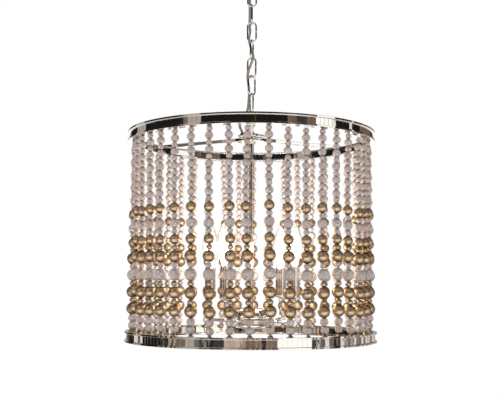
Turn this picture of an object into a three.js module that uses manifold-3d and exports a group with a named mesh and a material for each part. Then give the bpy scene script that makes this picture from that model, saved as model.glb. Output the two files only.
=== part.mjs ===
// Beaded drum chandelier: a drum of bead strands hung between two channel rings, with four
// candle lights on arms inside it, on a stem, a three-bar spider, a link chain and a canopy.
// Lengths are in millimetres. +Z is up, and the origin is the middle of the ceiling crossbar's
// top face, which lies flat against the ceiling. Angles round the drum are counted from the
// front, -Y, towards +X.

import * as THREE from 'three';
import { mergeVertices } from 'three/addons/utils/BufferGeometryUtils.js';
import Module from 'manifold-3d';

const wasm = await Module();
wasm.setup();

// Clearances and overruns
const SEAT_GAP = 0.3;
const CUT_OVERRUN = 1;
const WELD_OVERLAP = 0.8;
const MERGE_DISTANCE = 0.0005;

// Ceiling crossbar, nipple and canopy
const CROSSBAR_LENGTH = 106;
const CROSSBAR_WIDTH = 18;
const CROSSBAR_THICKNESS = 2.6;
const CROSSBAR_BOSS_RADIUS = 9;
const CROSSBAR_BOSS_HEIGHT = 4.5;
const CROSSBAR_SLOT_WIDTH = 4.6;
const CROSSBAR_SLOT_LENGTH = 20;
const CROSSBAR_SLOT_CENTRE = 38;
const NIPPLE_RADIUS = 4.8;
const NIPPLE_HOLE_CLEARANCE = 0.4;
const CANOPY_RADIUS = 63.5;
const CANOPY_HEIGHT = 26;
const CANOPY_WALL = 1.4;
const CANOPY_CEILING_GAP = 0.4;

// Canopy loop: a screwed collar with an eye below it
const CANOPY_LOOP_COLLAR_RADIUS = 11;
const CANOPY_LOOP_COLLAR_HEIGHT = 10;
const CANOPY_LOOP_EYE_RADIUS = 10.5;
const CANOPY_LOOP_WIRE = 4.4;

// Chain: each link's plane is turned about the chain, counted from the plane that holds Y
const LINK_LENGTH = 44.7;
const LINK_WIDTH = 21;
const LINK_WIRE = 3.2;
const LINK_TURNS_DEGREES = [88, 2, 95, 18, 109, 50, -20];

// Fixture loop: a long eye on a short stem and collar, screwed on to the hub
const LOOP_WIRE = 3.6;
const LOOP_EYE_LENGTH = 35.3;
const LOOP_EYE_WIDTH = 20;
const LOOP_STEM_RADIUS = 3.3;
const LOOP_STEM_HEIGHT = 8.6;
const LOOP_COLLAR_RADIUS = 5.4;
const LOOP_COLLAR_HEIGHT = 4;
const LOOP_SEAT_ABOVE_DRUM = 3.6;

// Drum rings: an outward channel with a flange turned in at its foot
const DRUM_RADIUS = 254;
const DRUM_HEIGHT = 422.5;
const RING_HEIGHT = 21;
const RIM_THICKNESS = 3.6;
const RIM_PROJECTION = 4;
const WEB_THICKNESS = 1.6;
const FLANGE_WIDTH = 14;

// Bead strands, hung inside the ring's web
const STRAND_COUNT = 42;
const STRANDS_PER_CURTAIN = 3;
const STRAND_PHASE_DEGREES = -1.3;
const STRAND_INSIDE_WEB = 8.4;
const BEAD_GAP = 0.2;
const SMALL_BEAD = 10.8;
const MEDIUM_BEAD = 14.4;
const LARGE_BEAD = 17.8;
const HUGE_BEAD = 21.4;
const BEAD_WIDTH_SHARE = 1.07;
const WIRE_DIAMETER = 2.4;
const WIRE_RUN_WIDTH = 1.4;
const WIRE_RUN_LIFT = 0.3;

// Hub and spider
const HUB_PLATE_RADIUS = 28.5;
const HUB_PLATE_THICKNESS = 3;
const HUB_DOME_TOP_RADIUS = 7.5;
const HUB_CORE_RADIUS = 9;
const SPIDER_BAR_HEIGHT = 7;
const SPIDER_BAR_WIDTH = 5;
const SPIDER_BAR_DROP = 8;
const SPIDER_BAR_COUNT = 3;
const SPIDER_BOSS_RADIUS = 4.4;
const SPIDER_BOSS_LENGTH = 7;

// Stem and the light cluster, placed by their heights above the foot of the bottom ring
const STEM_RADIUS = 5;
const STEM_WALL = 1.2;
const BORE_CLEARANCE = 0.35;
const CLUSTER_RADIUS = 31.8;
const CLUSTER_CUP_RADIUS = 30.8;
const CLUSTER_WALL = 1.5;
const CLUSTER_COVER_HEIGHT = 23.5;
const CLUSTER_JOINT_ABOVE_FOOT = 43.5;
const CLUSTER_CUP_DEPTH = 17;
const FINIAL_RADIUS = 5.5;
const FINIAL_HEIGHT = 6;

// Candle lights
const LIGHT_ANGLES_DEGREES = [57, 141, 237, 331];
const LIGHT_CIRCLE_RADIUS = 102;
const ARM_DIAMETER = 6.4;
const ARM_CENTRE_ABOVE_JOINT = 4;
const ARM_DIP = 8;
const ARM_DIP_RUN = 32;
const ARM_ELBOW_RADIUS = 13;
const CANDLE_CUP_ABOVE_FOOT = 84.5;
const CANDLE_CUP_RADIUS = 12.7;
const CANDLE_CUP_FOOT_RADIUS = 5.5;
const CANDLE_CUP_FLOOR = 3.4;
const CANDLE_CUP_RIM = 2.4;
const SLEEVE_RADIUS = 11;
const SLEEVE_WALL = 0.9;
const SLEEVE_LENGTH = 61;
const SOCKET_RADIUS = 9.4;
const SOCKET_BELOW_SLEEVE_TOP = 3.5;
const SOCKET_BORE_DEPTH = 20;
const BULB_BASE_RADIUS = 5.9;
const BULB_BASE_LENGTH = 15;
const BULB_RADIUS = 17;
const BULB_GLASS_LENGTH = 90;
const BULB_NECK_RADIUS = 8.2;

// Supply cord: its route is a list of points chosen by hand, beside and through the links
const CORD_DIAMETER = 4;
const CORD_BUSHING_RADIUS = 4.2;
const CORD_BUSHING_FLANGE = 1.6;
const CORD_BUSHING_HEIGHT = 8;
const CORD_HOLE_CLEARANCE = 0.5;
const CORD_CANOPY_PLACE = [-17, 6];
const CORD_HUB_PLACE = [-18, 2];
const CORD_POINTS = [
  [-17, 6, -18], [-17, 6, -26], [-16.4, 6, -33], [-12.5, 5.4, -41], [-7.4, 4.8, -49],
  [-5.1, 4.6, -57], [-4.6, 4.6, -72], [-4.6, 4.6, -92], [-4.6, 4.6, -112], [-4.6, 4.6, -130],
  [-4.2, 3.6, -140], [-3.6, 0, -149], [-4.8, -3.4, -158], [-5.8, -4, -168], [-3.6, -4.2, -179],
  [-0.7, -2.4, -188], [2.2, -3.8, -197], [2.8, -5.6, -206], [-1.6, -4.6, -219],
  [-6.4, -2.8, -232], [-8.6, -1.6, -244], [-7.6, 0, -256], [-5.8, 1.4, -270],
  [-5.4, 1.6, -283], [-6.4, 2.8, -301], [-9.6, 4.8, -319], [-17, 4.4, -331], [-23.6, 3.2, -342],
  [-24, 2.4, -351], [-20.4, 2, -359], [-18, 2, -366], [-18, 2, -373],
];

// Faceting: how many flats or sides stand for each round shape
const RING_FACETS = 56;
const CANOPY_FACETS = 24;
const DISC_FACETS = 18;
const SMALL_FACETS = 10;
const BULB_FACETS = 10;
const LINK_ARC_STEPS = 7;
const LINK_SIDES = 5;
const STRAND_SIDES = 3;
const CORD_SIDES = 8;
const ARM_SIDES = 6;
const ARM_STEPS = 12;
const CORD_STEPS = 44;

const FULL_TURN = 2 * Math.PI;
const SQUARE_TURN = Math.PI / 2;
const HALF = 0.5;

// Materials by finish
const nickel = { color: 0xd8d5cf, roughness: 0.08, metalness: 1 };
const plainSteel = { color: 0xa9abad, roughness: 0.4, metalness: 1 };
const washedWood = { color: 0xc9bfb8, roughness: 0.75, metalness: 0 };
const clearGlass = { color: 0xf4f1ea, roughness: 0.03, metalness: 0 };
const blackPlastic = { color: 0x26241f, roughness: 0.5, metalness: 0 };
const clearVinyl = { color: 0xd9cfc6, roughness: 0.25, metalness: 0 };

const chandelier = new THREE.Group();

const radians = (degrees) => THREE.MathUtils.degToRad(degrees);

// The point at a radius and an angle from the front, at height z
function aroundDrum(radius, angle, z) {
  return new THREE.Vector3(radius * Math.sin(angle), -radius * Math.cos(angle), z);
}

// A closed geometry as a solid that can be joined and cut
function solidOf(geometry) {
  const plain = geometry.clone();
  plain.deleteAttribute('normal');
  plain.deleteAttribute('uv');
  const merged = mergeVertices(plain, MERGE_DISTANCE);
  return new wasm.Manifold(new wasm.Mesh({
    numProp: 3,
    vertProperties: new Float32Array(merged.attributes.position.array),
    triVerts: new Uint32Array(merged.index.array),
  }));
}

function geometryOf(solid) {
  const mesh = solid.getMesh();
  const geometry = new THREE.BufferGeometry();
  geometry.setAttribute('position', new THREE.BufferAttribute(new Float32Array(mesh.vertProperties), 3));
  geometry.setIndex(new THREE.BufferAttribute(new Uint32Array(mesh.triVerts), 1));
  return geometry;
}

function join(...geometries) {
  return geometryOf(geometries.map(solidOf).reduce((whole, piece) => whole.add(piece)));
}

function cut(geometry, ...tools) {
  return geometryOf(tools.map(solidOf).reduce((whole, tool) => whole.subtract(tool), solidOf(geometry)));
}

// A body turned about Z from a profile of [radius, height] points, listed upwards on its
// outside; a closed profile makes a ring
function turned(points, facets, closed = false) {
  const outline = points.map(([radius, height]) => new THREE.Vector2(radius, height));
  if (closed) outline.push(outline[0].clone());
  return new THREE.LatheGeometry(outline, facets).rotateX(SQUARE_TURN);
}

function rod(radius, bottom, top, facets = SMALL_FACETS) {
  return turned([[0, bottom], [radius, bottom], [radius, top], [0, top]], facets);
}

function tube(outer, inner, bottom, top, facets = SMALL_FACETS) {
  return turned([[inner, bottom], [outer, bottom], [outer, top], [inner, top]], facets, true);
}

function block(width, depth, bottom, top) {
  return new THREE.BoxGeometry(width, depth, top - bottom).translate(0, 0, (top + bottom) * HALF);
}

// Rings of vertices joined in a row: closed on themselves, or ended by a flat cap each side
function skin(rings, loops) {
  const sides = rings[0].length;
  const positions = rings.flat().flatMap((point) => point.toArray());
  const triangles = [];
  const bands = loops ? rings.length : rings.length - 1;
  for (let band = 0; band < bands; band += 1) {
    const next = (band + 1) % rings.length;
    for (let side = 0; side < sides; side += 1) {
      const turn = (side + 1) % sides;
      const near = [band * sides + side, band * sides + turn];
      const far = [next * sides + side, next * sides + turn];
      triangles.push(near[0], near[1], far[0], near[1], far[1], far[0]);
    }
  }
  if (!loops) {
    const last = (rings.length - 1) * sides;
    for (let side = 1; side < sides - 1; side += 1) {
      triangles.push(0, side + 1, side, last, last + side, last + side + 1);
    }
  }
  const geometry = new THREE.BufferGeometry();
  geometry.setAttribute('position', new THREE.Float32BufferAttribute(positions, 3));
  geometry.setIndex(triangles);
  return geometry;
}

// A wire bent into an oval eye in the XZ plane, round its middle
function ovalEye(length, width, wire) {
  const bend = (width - wire) * HALF;
  const rise = (length - width) * HALF;
  const rings = [];
  for (let step = 0; step <= 2 * LINK_ARC_STEPS + 1; step += 1) {
    const upper = step <= LINK_ARC_STEPS;
    const along = upper ? step : step - 1;
    const angle = Math.PI * along / LINK_ARC_STEPS;
    const outwards = new THREE.Vector3(Math.cos(angle), 0, Math.sin(angle));
    const middle = outwards.clone().multiplyScalar(bend);
    middle.z += upper ? rise : -rise;
    const ring = [];
    for (let side = 0; side < LINK_SIDES; side += 1) {
      const turn = FULL_TURN * side / LINK_SIDES;
      const point = middle.clone().addScaledVector(outwards, wire * HALF * Math.cos(turn));
      point.y += wire * HALF * Math.sin(turn);
      ring.push(point);
    }
    rings.push(ring);
  }
  return skin(rings, true);
}

// A round tube along a curve, square at both ends
function tubeAlong(curve, diameter, sides, steps) {
  const section = new THREE.Shape();
  for (let side = 0; side < sides; side += 1) {
    const angle = FULL_TURN * side / sides;
    const place = [diameter * HALF * Math.cos(angle), diameter * HALF * Math.sin(angle)];
    if (side === 0) section.moveTo(...place);
    else section.lineTo(...place);
  }
  section.closePath();
  return new THREE.ExtrudeGeometry(section, { steps, extrudePath: curve, bevelEnabled: false });
}

function addPart(name, geometry, finish, { at = [0, 0, 0], turn = 0 } = {}) {
  const mesh = new THREE.Mesh(geometry, new THREE.MeshStandardMaterial(finish));
  mesh.name = name;
  mesh.position.set(...at);
  mesh.rotation.z = turn;
  chandelier.add(mesh);
  return mesh;
}

// Heights down the hanging line
const crossbarBossBottom = -CROSSBAR_THICKNESS - CROSSBAR_BOSS_HEIGHT;
const canopyBottom = -CANOPY_CEILING_GAP - CANOPY_HEIGHT;
const collarTop = canopyBottom - SEAT_GAP;
const collarBottom = collarTop - CANOPY_LOOP_COLLAR_HEIGHT;
const canopyEyeCentre = collarBottom + WELD_OVERLAP - CANOPY_LOOP_EYE_RADIUS;
const canopyEyeLowWire = canopyEyeCentre - CANOPY_LOOP_EYE_RADIUS;
const firstLinkTopWire = canopyEyeLowWire + (CANOPY_LOOP_WIRE + LINK_WIRE) * HALF + SEAT_GAP;
const linkWireSpan = LINK_LENGTH - LINK_WIRE;
const linkPitch = linkWireSpan - LINK_WIRE - SEAT_GAP;
const linkCount = LINK_TURNS_DEGREES.length;
const lastLinkLowWire = firstLinkTopWire - linkPitch * (linkCount - 1) - linkWireSpan;
const loopTopWire = lastLinkLowWire + (LINK_WIRE + LOOP_WIRE) * HALF + SEAT_GAP;
const loopEyeCentre = loopTopWire - (LOOP_EYE_LENGTH - LOOP_WIRE) * HALF;
const loopStemTop = loopEyeCentre - LOOP_EYE_LENGTH * HALF + LOOP_WIRE * HALF;
const loopCollarTop = loopStemTop - LOOP_STEM_HEIGHT - LOOP_WIRE * HALF;
const loopBottom = loopCollarTop - LOOP_COLLAR_HEIGHT;
const drumTop = loopBottom - LOOP_SEAT_ABOVE_DRUM;
const drumFoot = drumTop - DRUM_HEIGHT;
const bottomRingTop = drumFoot + RING_HEIGHT;

// Hub heights
const barTop = drumTop - SPIDER_BAR_DROP + SPIDER_BAR_HEIGHT * HALF;
const barBottom = barTop - SPIDER_BAR_HEIGHT;
const upperPlateBottom = barTop + SEAT_GAP;
const upperPlateTop = loopBottom - SEAT_GAP;
const lowerPlateTop = barBottom - SEAT_GAP;
const lowerPlateBottom = lowerPlateTop - HUB_PLATE_THICKNESS;
const stemTop = upperPlateBottom - SEAT_GAP;
const stemHoleRadius = STEM_RADIUS + BORE_CLEARANCE;

// Ring radii
const webOuter = DRUM_RADIUS - RIM_PROJECTION;
const webInner = webOuter - WEB_THICKNESS;
const flangeInner = webInner - FLANGE_WIDTH;
const strandCircle = webInner - STRAND_INSIDE_WEB;

// Cluster and light heights
const clusterJoint = drumFoot + CLUSTER_JOINT_ABOVE_FOOT;
const clusterCupTop = clusterJoint - SEAT_GAP;
const clusterCupFoot = clusterCupTop - CLUSTER_CUP_DEPTH;
const clusterCupFloor = clusterCupFoot + CLUSTER_WALL;
const candleCupFoot = drumFoot + CANDLE_CUP_ABOVE_FOOT;
const candleCupFloor = candleCupFoot + CANDLE_CUP_FLOOR;
const sleeveBottom = candleCupFloor + SEAT_GAP;
const sleeveTop = sleeveBottom + SLEEVE_LENGTH;
const sleeveBore = SLEEVE_RADIUS - SLEEVE_WALL;
const socketTop = sleeveTop - SOCKET_BELOW_SLEEVE_TOP;
const socketBore = BULB_BASE_RADIUS + BORE_CLEARANCE;

function addCeilingFittings() {
  const slot = (side) => block(CROSSBAR_SLOT_LENGTH, CROSSBAR_SLOT_WIDTH,
    -CROSSBAR_THICKNESS - CUT_OVERRUN, CUT_OVERRUN).translate(side * CROSSBAR_SLOT_CENTRE, 0, 0);
  const bar = block(CROSSBAR_LENGTH, CROSSBAR_WIDTH, -CROSSBAR_THICKNESS, 0);
  const boss = rod(CROSSBAR_BOSS_RADIUS, crossbarBossBottom, -CROSSBAR_THICKNESS * HALF);
  addPart('ceiling_crossbar', cut(join(bar, boss), slot(1), slot(-1)), plainSteel);

  addPart('hanging_nipple', rod(NIPPLE_RADIUS, collarTop + SEAT_GAP, crossbarBossBottom - SEAT_GAP),
    plainSteel);

  // The canopy is a stepped dish: shares of its radius and height for the outside, from the
  // bottom's hole to the rim, and the same line moved in by the wall for the inside
  const outsideShares = [[0.3, 0], [0.55, 0.08], [0.8, 0.36], [0.93, 0.74], [1, 0.84], [1, 1]];
  const hole = NIPPLE_RADIUS + NIPPLE_HOLE_CLEARANCE;
  const outside = outsideShares.map(([radiusShare, heightShare]) => [
    CANOPY_RADIUS * radiusShare, canopyBottom + CANOPY_HEIGHT * heightShare]);
  const rim = -CANOPY_CEILING_GAP;
  const inside = outside.slice(0, -1).reverse().map(([radius, height]) => [
    radius - CANOPY_WALL, height + CANOPY_WALL]);
  const profile = [[hole, canopyBottom], ...outside, [CANOPY_RADIUS - CANOPY_WALL, rim], ...inside,
    [hole, canopyBottom + CANOPY_WALL]];
  const cordHole = rod(CORD_BUSHING_RADIUS + CORD_HOLE_CLEARANCE, canopyBottom - CUT_OVERRUN,
    canopyBottom + CANOPY_HEIGHT * HALF).translate(...CORD_CANOPY_PLACE, 0);
  addPart('canopy', cut(turned(profile, CANOPY_FACETS, true), cordHole), nickel);

  const eye = ovalEye(2 * CANOPY_LOOP_EYE_RADIUS + CANOPY_LOOP_WIRE,
    2 * CANOPY_LOOP_EYE_RADIUS + CANOPY_LOOP_WIRE, CANOPY_LOOP_WIRE)
    .rotateZ(SQUARE_TURN).translate(0, 0, canopyEyeCentre);
  addPart('canopy_loop', join(rod(CANOPY_LOOP_COLLAR_RADIUS, collarBottom, collarTop), eye), nickel);
}

// The cord's bushing: a flanged sleeve in the canopy's side hole
function addCordBushing() {
  const bore = CORD_DIAMETER * HALF + CORD_HOLE_CLEARANCE;
  const flangeTop = canopyBottom - SEAT_GAP;
  const flangeRadius = CORD_BUSHING_RADIUS + CORD_BUSHING_FLANGE;
  const flangeBottom = flangeTop - CORD_BUSHING_FLANGE;
  const profile = [[bore, flangeBottom], [flangeRadius, flangeBottom], [flangeRadius, flangeTop],
    [CORD_BUSHING_RADIUS, flangeTop], [CORD_BUSHING_RADIUS, flangeBottom + CORD_BUSHING_HEIGHT],
    [bore, flangeBottom + CORD_BUSHING_HEIGHT]];
  addPart('cord_bushing', turned(profile, SMALL_FACETS, true), blackPlastic,
    { at: [...CORD_CANOPY_PLACE, 0] });
}

function addChain() {
  LINK_TURNS_DEGREES.forEach((turnDegrees, index) => {
    const centre = firstLinkTopWire - linkPitch * index - linkWireSpan * HALF;
    addPart(`chain_link_${index + 1}`, ovalEye(LINK_LENGTH, LINK_WIDTH, LINK_WIRE), nickel,
      { at: [0, 0, centre], turn: SQUARE_TURN - radians(turnDegrees) });
  });
  const eye = ovalEye(LOOP_EYE_LENGTH, LOOP_EYE_WIDTH, LOOP_WIRE).translate(0, 0, loopEyeCentre);
  const stem = rod(LOOP_STEM_RADIUS, loopCollarTop - WELD_OVERLAP, loopStemTop + WELD_OVERLAP);
  const collar = rod(LOOP_COLLAR_RADIUS, loopBottom, loopCollarTop);
  addPart('fixture_loop', join(eye, stem, collar), nickel);
}

function addSupplyCord() {
  const route = new THREE.CatmullRomCurve3(CORD_POINTS.map((point) => new THREE.Vector3(...point)));
  addPart('supply_cord', tubeAlong(route, CORD_DIAMETER, CORD_SIDES, CORD_STEPS), clearVinyl);
}

function addHubAndSpider() {
  const domeShares = [[1, 0], [1, 0.3], [0.62, 0.72]];
  const domeRise = upperPlateTop - upperPlateBottom;
  const upper = [[0, upperPlateBottom],
    ...domeShares.map(([radiusShare, heightShare]) => [
      HUB_PLATE_RADIUS * radiusShare, upperPlateBottom + domeRise * heightShare]),
    [HUB_DOME_TOP_RADIUS, upperPlateTop], [0, upperPlateTop]];
  const cordHole = rod(CORD_DIAMETER * HALF + CORD_HOLE_CLEARANCE, upperPlateBottom - CUT_OVERRUN,
    upperPlateTop + CUT_OVERRUN).translate(...CORD_HUB_PLACE, 0);
  addPart('hub_plate_upper', cut(turned(upper, DISC_FACETS), cordHole), nickel);
  addPart('hub_core', tube(HUB_CORE_RADIUS, stemHoleRadius, barBottom, barTop), nickel);
  addPart('hub_plate_lower', tube(HUB_PLATE_RADIUS, stemHoleRadius, lowerPlateBottom,
    lowerPlateTop, DISC_FACETS), nickel);

  const barStart = HUB_CORE_RADIUS + SEAT_GAP;
  const barEnd = webInner * Math.cos(Math.PI / RING_FACETS) - SEAT_GAP;
  for (let index = 0; index < SPIDER_BAR_COUNT; index += 1) {
    const bar = block(SPIDER_BAR_WIDTH, barEnd - barStart, barBottom, barTop)
      .translate(0, -(barStart + barEnd) * HALF, 0);
    const boss = rod(SPIDER_BOSS_RADIUS, -SPIDER_BOSS_LENGTH, 0).rotateX(SQUARE_TURN)
      .translate(0, SPIDER_BOSS_LENGTH, 0).translate(0, -barEnd, (barTop + barBottom) * HALF);
    addPart(`spider_bar_${index + 1}`, join(bar, boss), nickel,
      { turn: FULL_TURN * index / SPIDER_BAR_COUNT });
  }
  addPart('stem', tube(STEM_RADIUS, STEM_RADIUS - STEM_WALL, clusterCupFloor + SEAT_GAP, stemTop),
    nickel);
}

// One ring's section, from its inward foot flange round the outward channel
function ringProfile(top) {
  const foot = top - RING_HEIGHT;
  const lowerRimTop = foot + RIM_THICKNESS;
  const upperRimFoot = top - RIM_THICKNESS;
  return [[flangeInner, foot], [DRUM_RADIUS, foot], [DRUM_RADIUS, lowerRimTop],
    [webOuter, lowerRimTop], [webOuter, upperRimFoot], [DRUM_RADIUS, upperRimFoot],
    [DRUM_RADIUS, top], [webInner, top], [webInner, lowerRimTop], [flangeInner, lowerRimTop]];
}

function addRings() {
  addPart('top_ring', turned(ringProfile(drumTop), RING_FACETS, true), nickel);
  addPart('bottom_ring', turned(ringProfile(bottomRingTop), RING_FACETS, true), nickel);
}

// A strand's beads from the top: eleven small and medium ones in turn, then large and huge ones
// with small ones between, then two medium ones and a small one
const strandBeads = [
  SMALL_BEAD, MEDIUM_BEAD, SMALL_BEAD, MEDIUM_BEAD, SMALL_BEAD, MEDIUM_BEAD, SMALL_BEAD,
  MEDIUM_BEAD, SMALL_BEAD, MEDIUM_BEAD, SMALL_BEAD,
  LARGE_BEAD, SMALL_BEAD, LARGE_BEAD, SMALL_BEAD, LARGE_BEAD, SMALL_BEAD,
  HUGE_BEAD, SMALL_BEAD, HUGE_BEAD, SMALL_BEAD, HUGE_BEAD, SMALL_BEAD, HUGE_BEAD,
  MEDIUM_BEAD, MEDIUM_BEAD, SMALL_BEAD,
];

// A strand is one faceted skin with a ring of corners at each bead's middle, each ring turned
// half a side against the last, and its wire's end on the bottom ring's flange. A bead's size is
// its height between the flats at its holes, and it is a little wider than that
function strand(angle) {
  const top = drumTop - RING_HEIGHT - SEAT_GAP;
  const stations = [[WIRE_DIAMETER * HALF, top]];
  let level = top;
  strandBeads.forEach((bead) => {
    stations.push([bead * HALF * BEAD_WIDTH_SHARE, level - bead * HALF]);
    level -= bead + BEAD_GAP;
  });
  stations.push([WIRE_DIAMETER * HALF, level]);
  stations.push([WIRE_DIAMETER * HALF, drumFoot + RIM_THICKNESS + SEAT_GAP]);
  const middle = aroundDrum(strandCircle, angle, 0);
  const rings = stations.reverse().map(([radius, height], index) => {
    const ring = [];
    for (let side = 0; side < STRAND_SIDES; side += 1) {
      const turn = FULL_TURN * (side + index * HALF) / STRAND_SIDES;
      ring.push(new THREE.Vector3(middle.x + radius * Math.cos(turn),
        middle.y + radius * Math.sin(turn), height));
    }
    return ring;
  });
  return skin(rings, false);
}

// The stringing wire between two neighbouring strands, laid along the bottom ring's flange
function wireRun(fromAngle, toAngle) {
  const bottom = drumFoot + RIM_THICKNESS + SEAT_GAP + WIRE_RUN_LIFT;
  const from = aroundDrum(strandCircle, fromAngle, 0);
  const to = aroundDrum(strandCircle, toAngle, 0);
  const chord = from.distanceTo(to);
  return block(chord, WIRE_RUN_WIDTH, bottom, bottom + WIRE_RUN_WIDTH)
    .rotateZ(Math.atan2(to.y - from.y, to.x - from.x))
    .translate((from.x + to.x) * HALF, (from.y + to.y) * HALF, 0);
}

function addBeadCurtains() {
  const step = FULL_TURN / STRAND_COUNT;
  for (let first = 0; first < STRAND_COUNT; first += STRANDS_PER_CURTAIN) {
    const pieces = [];
    for (let place = 0; place < STRANDS_PER_CURTAIN; place += 1) {
      const angle = radians(STRAND_PHASE_DEGREES) + step * (first + place);
      pieces.push(strand(angle));
      if (place > 0) pieces.push(wireRun(angle - step, angle));
    }
    addPart(`bead_curtain_${first / STRANDS_PER_CURTAIN + 1}`, join(...pieces), washedWood);
  }
}

function addCluster() {
  // The cover is a flat-topped dome from the stem down to a lip, the cup a steep bowl under it
  const domeShares = [[1, 0], [1, 0.3], [0.95, 0.62], [0.8, 0.87], [0.45, 0.97]];
  const crown = clusterJoint + CLUSTER_COVER_HEIGHT;
  const dome = domeShares.map(([radiusShare, heightShare]) => [
    CLUSTER_RADIUS * radiusShare, clusterJoint + CLUSTER_COVER_HEIGHT * heightShare]);
  const under = dome.slice(1).reverse().map(([radius, height]) => [
    radius - CLUSTER_WALL, height - CLUSTER_WALL]);
  addPart('cluster_cover', turned([...dome, [stemHoleRadius, crown],
    [stemHoleRadius, crown - CLUSTER_WALL], ...under, [CLUSTER_RADIUS - CLUSTER_WALL, clusterJoint]],
  DISC_FACETS, true), nickel);

  const bowlShares = [[0.55, 0], [0.93, 0.14], [1, 0.4], [1, 1]];
  const bowl = bowlShares.map(([radiusShare, heightShare]) => [
    CLUSTER_CUP_RADIUS * radiusShare, clusterCupFoot + CLUSTER_CUP_DEPTH * heightShare]);
  const bowlInside = bowl.slice(0, -1).reverse().map(([radius, height]) => [
    radius - CLUSTER_WALL, height + CLUSTER_WALL]);
  addPart('cluster_cup', turned([[0, clusterCupFoot], ...bowl,
    [CLUSTER_CUP_RADIUS - CLUSTER_WALL, clusterCupTop], ...bowlInside, [0, clusterCupFloor]],
  DISC_FACETS), nickel);

  const finialShares = [[0.5, 0], [1, 0.35], [1, 0.6], [0.55, 1]];
  const finialTop = clusterCupFoot - SEAT_GAP;
  const finial = finialShares.map(([radiusShare, heightShare]) => [
    FINIAL_RADIUS * radiusShare, finialTop - FINIAL_HEIGHT * (1 - heightShare)]);
  addPart('cluster_finial', turned([[0, finialTop - FINIAL_HEIGHT], ...finial, [0, finialTop]],
    SMALL_FACETS), nickel);
}

// An arm leaves the cover's side level, dips, runs out and turns straight up to its candle cup
function armGeometry() {
  const start = CLUSTER_RADIUS + SEAT_GAP;
  const level = clusterJoint + ARM_CENTRE_ABOVE_JOINT;
  const low = level - ARM_DIP;
  const elbowStart = LIGHT_CIRCLE_RADIUS - ARM_ELBOW_RADIUS;
  const elbowTop = low + ARM_ELBOW_RADIUS;
  const at = (radius, height) => new THREE.Vector3(0, -radius, height);
  const path = new THREE.CurvePath();
  path.add(new THREE.CubicBezierCurve3(at(start, level), at(start + ARM_DIP_RUN * HALF, level),
    at(start + ARM_DIP_RUN * HALF, low), at(start + ARM_DIP_RUN, low)));
  path.add(new THREE.LineCurve3(at(start + ARM_DIP_RUN, low), at(elbowStart, low)));
  path.add(new THREE.QuadraticBezierCurve3(at(elbowStart, low), at(LIGHT_CIRCLE_RADIUS, low),
    at(LIGHT_CIRCLE_RADIUS, elbowTop)));
  path.add(new THREE.LineCurve3(at(LIGHT_CIRCLE_RADIUS, elbowTop),
    at(LIGHT_CIRCLE_RADIUS, candleCupFoot - SEAT_GAP)));
  return tubeAlong(path, ARM_DIAMETER, ARM_SIDES, ARM_STEPS);
}

function candleCup() {
  const rimTop = candleCupFloor + CANDLE_CUP_RIM;
  const seatRadius = SLEEVE_RADIUS + SEAT_GAP;
  return turned([[0, candleCupFoot], [CANDLE_CUP_FOOT_RADIUS, candleCupFoot],
    [CANDLE_CUP_RADIUS, candleCupFloor], [CANDLE_CUP_RADIUS, rimTop], [seatRadius, rimTop],
    [seatRadius, candleCupFloor], [0, candleCupFloor]], SMALL_FACETS);
}

function lampSocket() {
  const boreFloor = socketTop - SOCKET_BORE_DEPTH;
  return turned([[0, sleeveBottom], [SOCKET_RADIUS, sleeveBottom], [SOCKET_RADIUS, socketTop],
    [socketBore, socketTop], [socketBore, boreFloor], [0, boreFloor]], SMALL_FACETS);
}

// A torpedo bulb: its screw base stands in the socket, its glass swells above the sleeve
function bulbGeometry() {
  const baseFoot = socketTop - BULB_BASE_LENGTH;
  const glassFoot = socketTop + SEAT_GAP;
  const glassShares = [[0.66, 0.16], [0.92, 0.3], [1, 0.42], [0.9, 0.62], [0.62, 0.82], [0.26, 0.95]];
  const glass = glassShares.map(([radiusShare, heightShare]) => [
    BULB_RADIUS * radiusShare, sleeveTop + BULB_GLASS_LENGTH * heightShare]);
  return turned([[0, baseFoot], [BULB_BASE_RADIUS, baseFoot], [BULB_BASE_RADIUS, glassFoot],
    [BULB_NECK_RADIUS, glassFoot], [BULB_NECK_RADIUS, sleeveTop], ...glass,
    [0, sleeveTop + BULB_GLASS_LENGTH]], BULB_FACETS);
}

function addLights() {
  LIGHT_ANGLES_DEGREES.forEach((degrees, index) => {
    const angle = radians(degrees);
    const place = { at: aroundDrum(LIGHT_CIRCLE_RADIUS, angle, 0).toArray(), turn: angle };
    const number = index + 1;
    addPart(`arm_${number}`, armGeometry(), nickel, { turn: angle });
    addPart(`candle_cup_${number}`, candleCup(), nickel, place);
    addPart(`candle_sleeve_${number}`, tube(SLEEVE_RADIUS, sleeveBore, sleeveBottom, sleeveTop),
      nickel, place);
    addPart(`socket_${number}`, lampSocket(), blackPlastic, place);
    addPart(`bulb_${number}`, bulbGeometry(), clearGlass, place);
  });
}

addCeilingFittings();
addCordBushing();
addChain();
addSupplyCord();
addHubAndSpider();
addRings();
addBeadCurtains();
addCluster();
addLights();

export default chandelier;
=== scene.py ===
"""Beaded drum chandelier, dressed over its CAD frame.

Shapes are worked out in millimetres in the frame of the part: the origin is the middle of the
ceiling crossbar's top face, +Z is up and -Y is the front. add_piece turns them to metres.
Angles round the drum are counted from the front, -Y, towards +X.

A shape is a pair: an array of points, and a list of arrays of faces, one array for each number
of corners.
"""
import math

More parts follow.
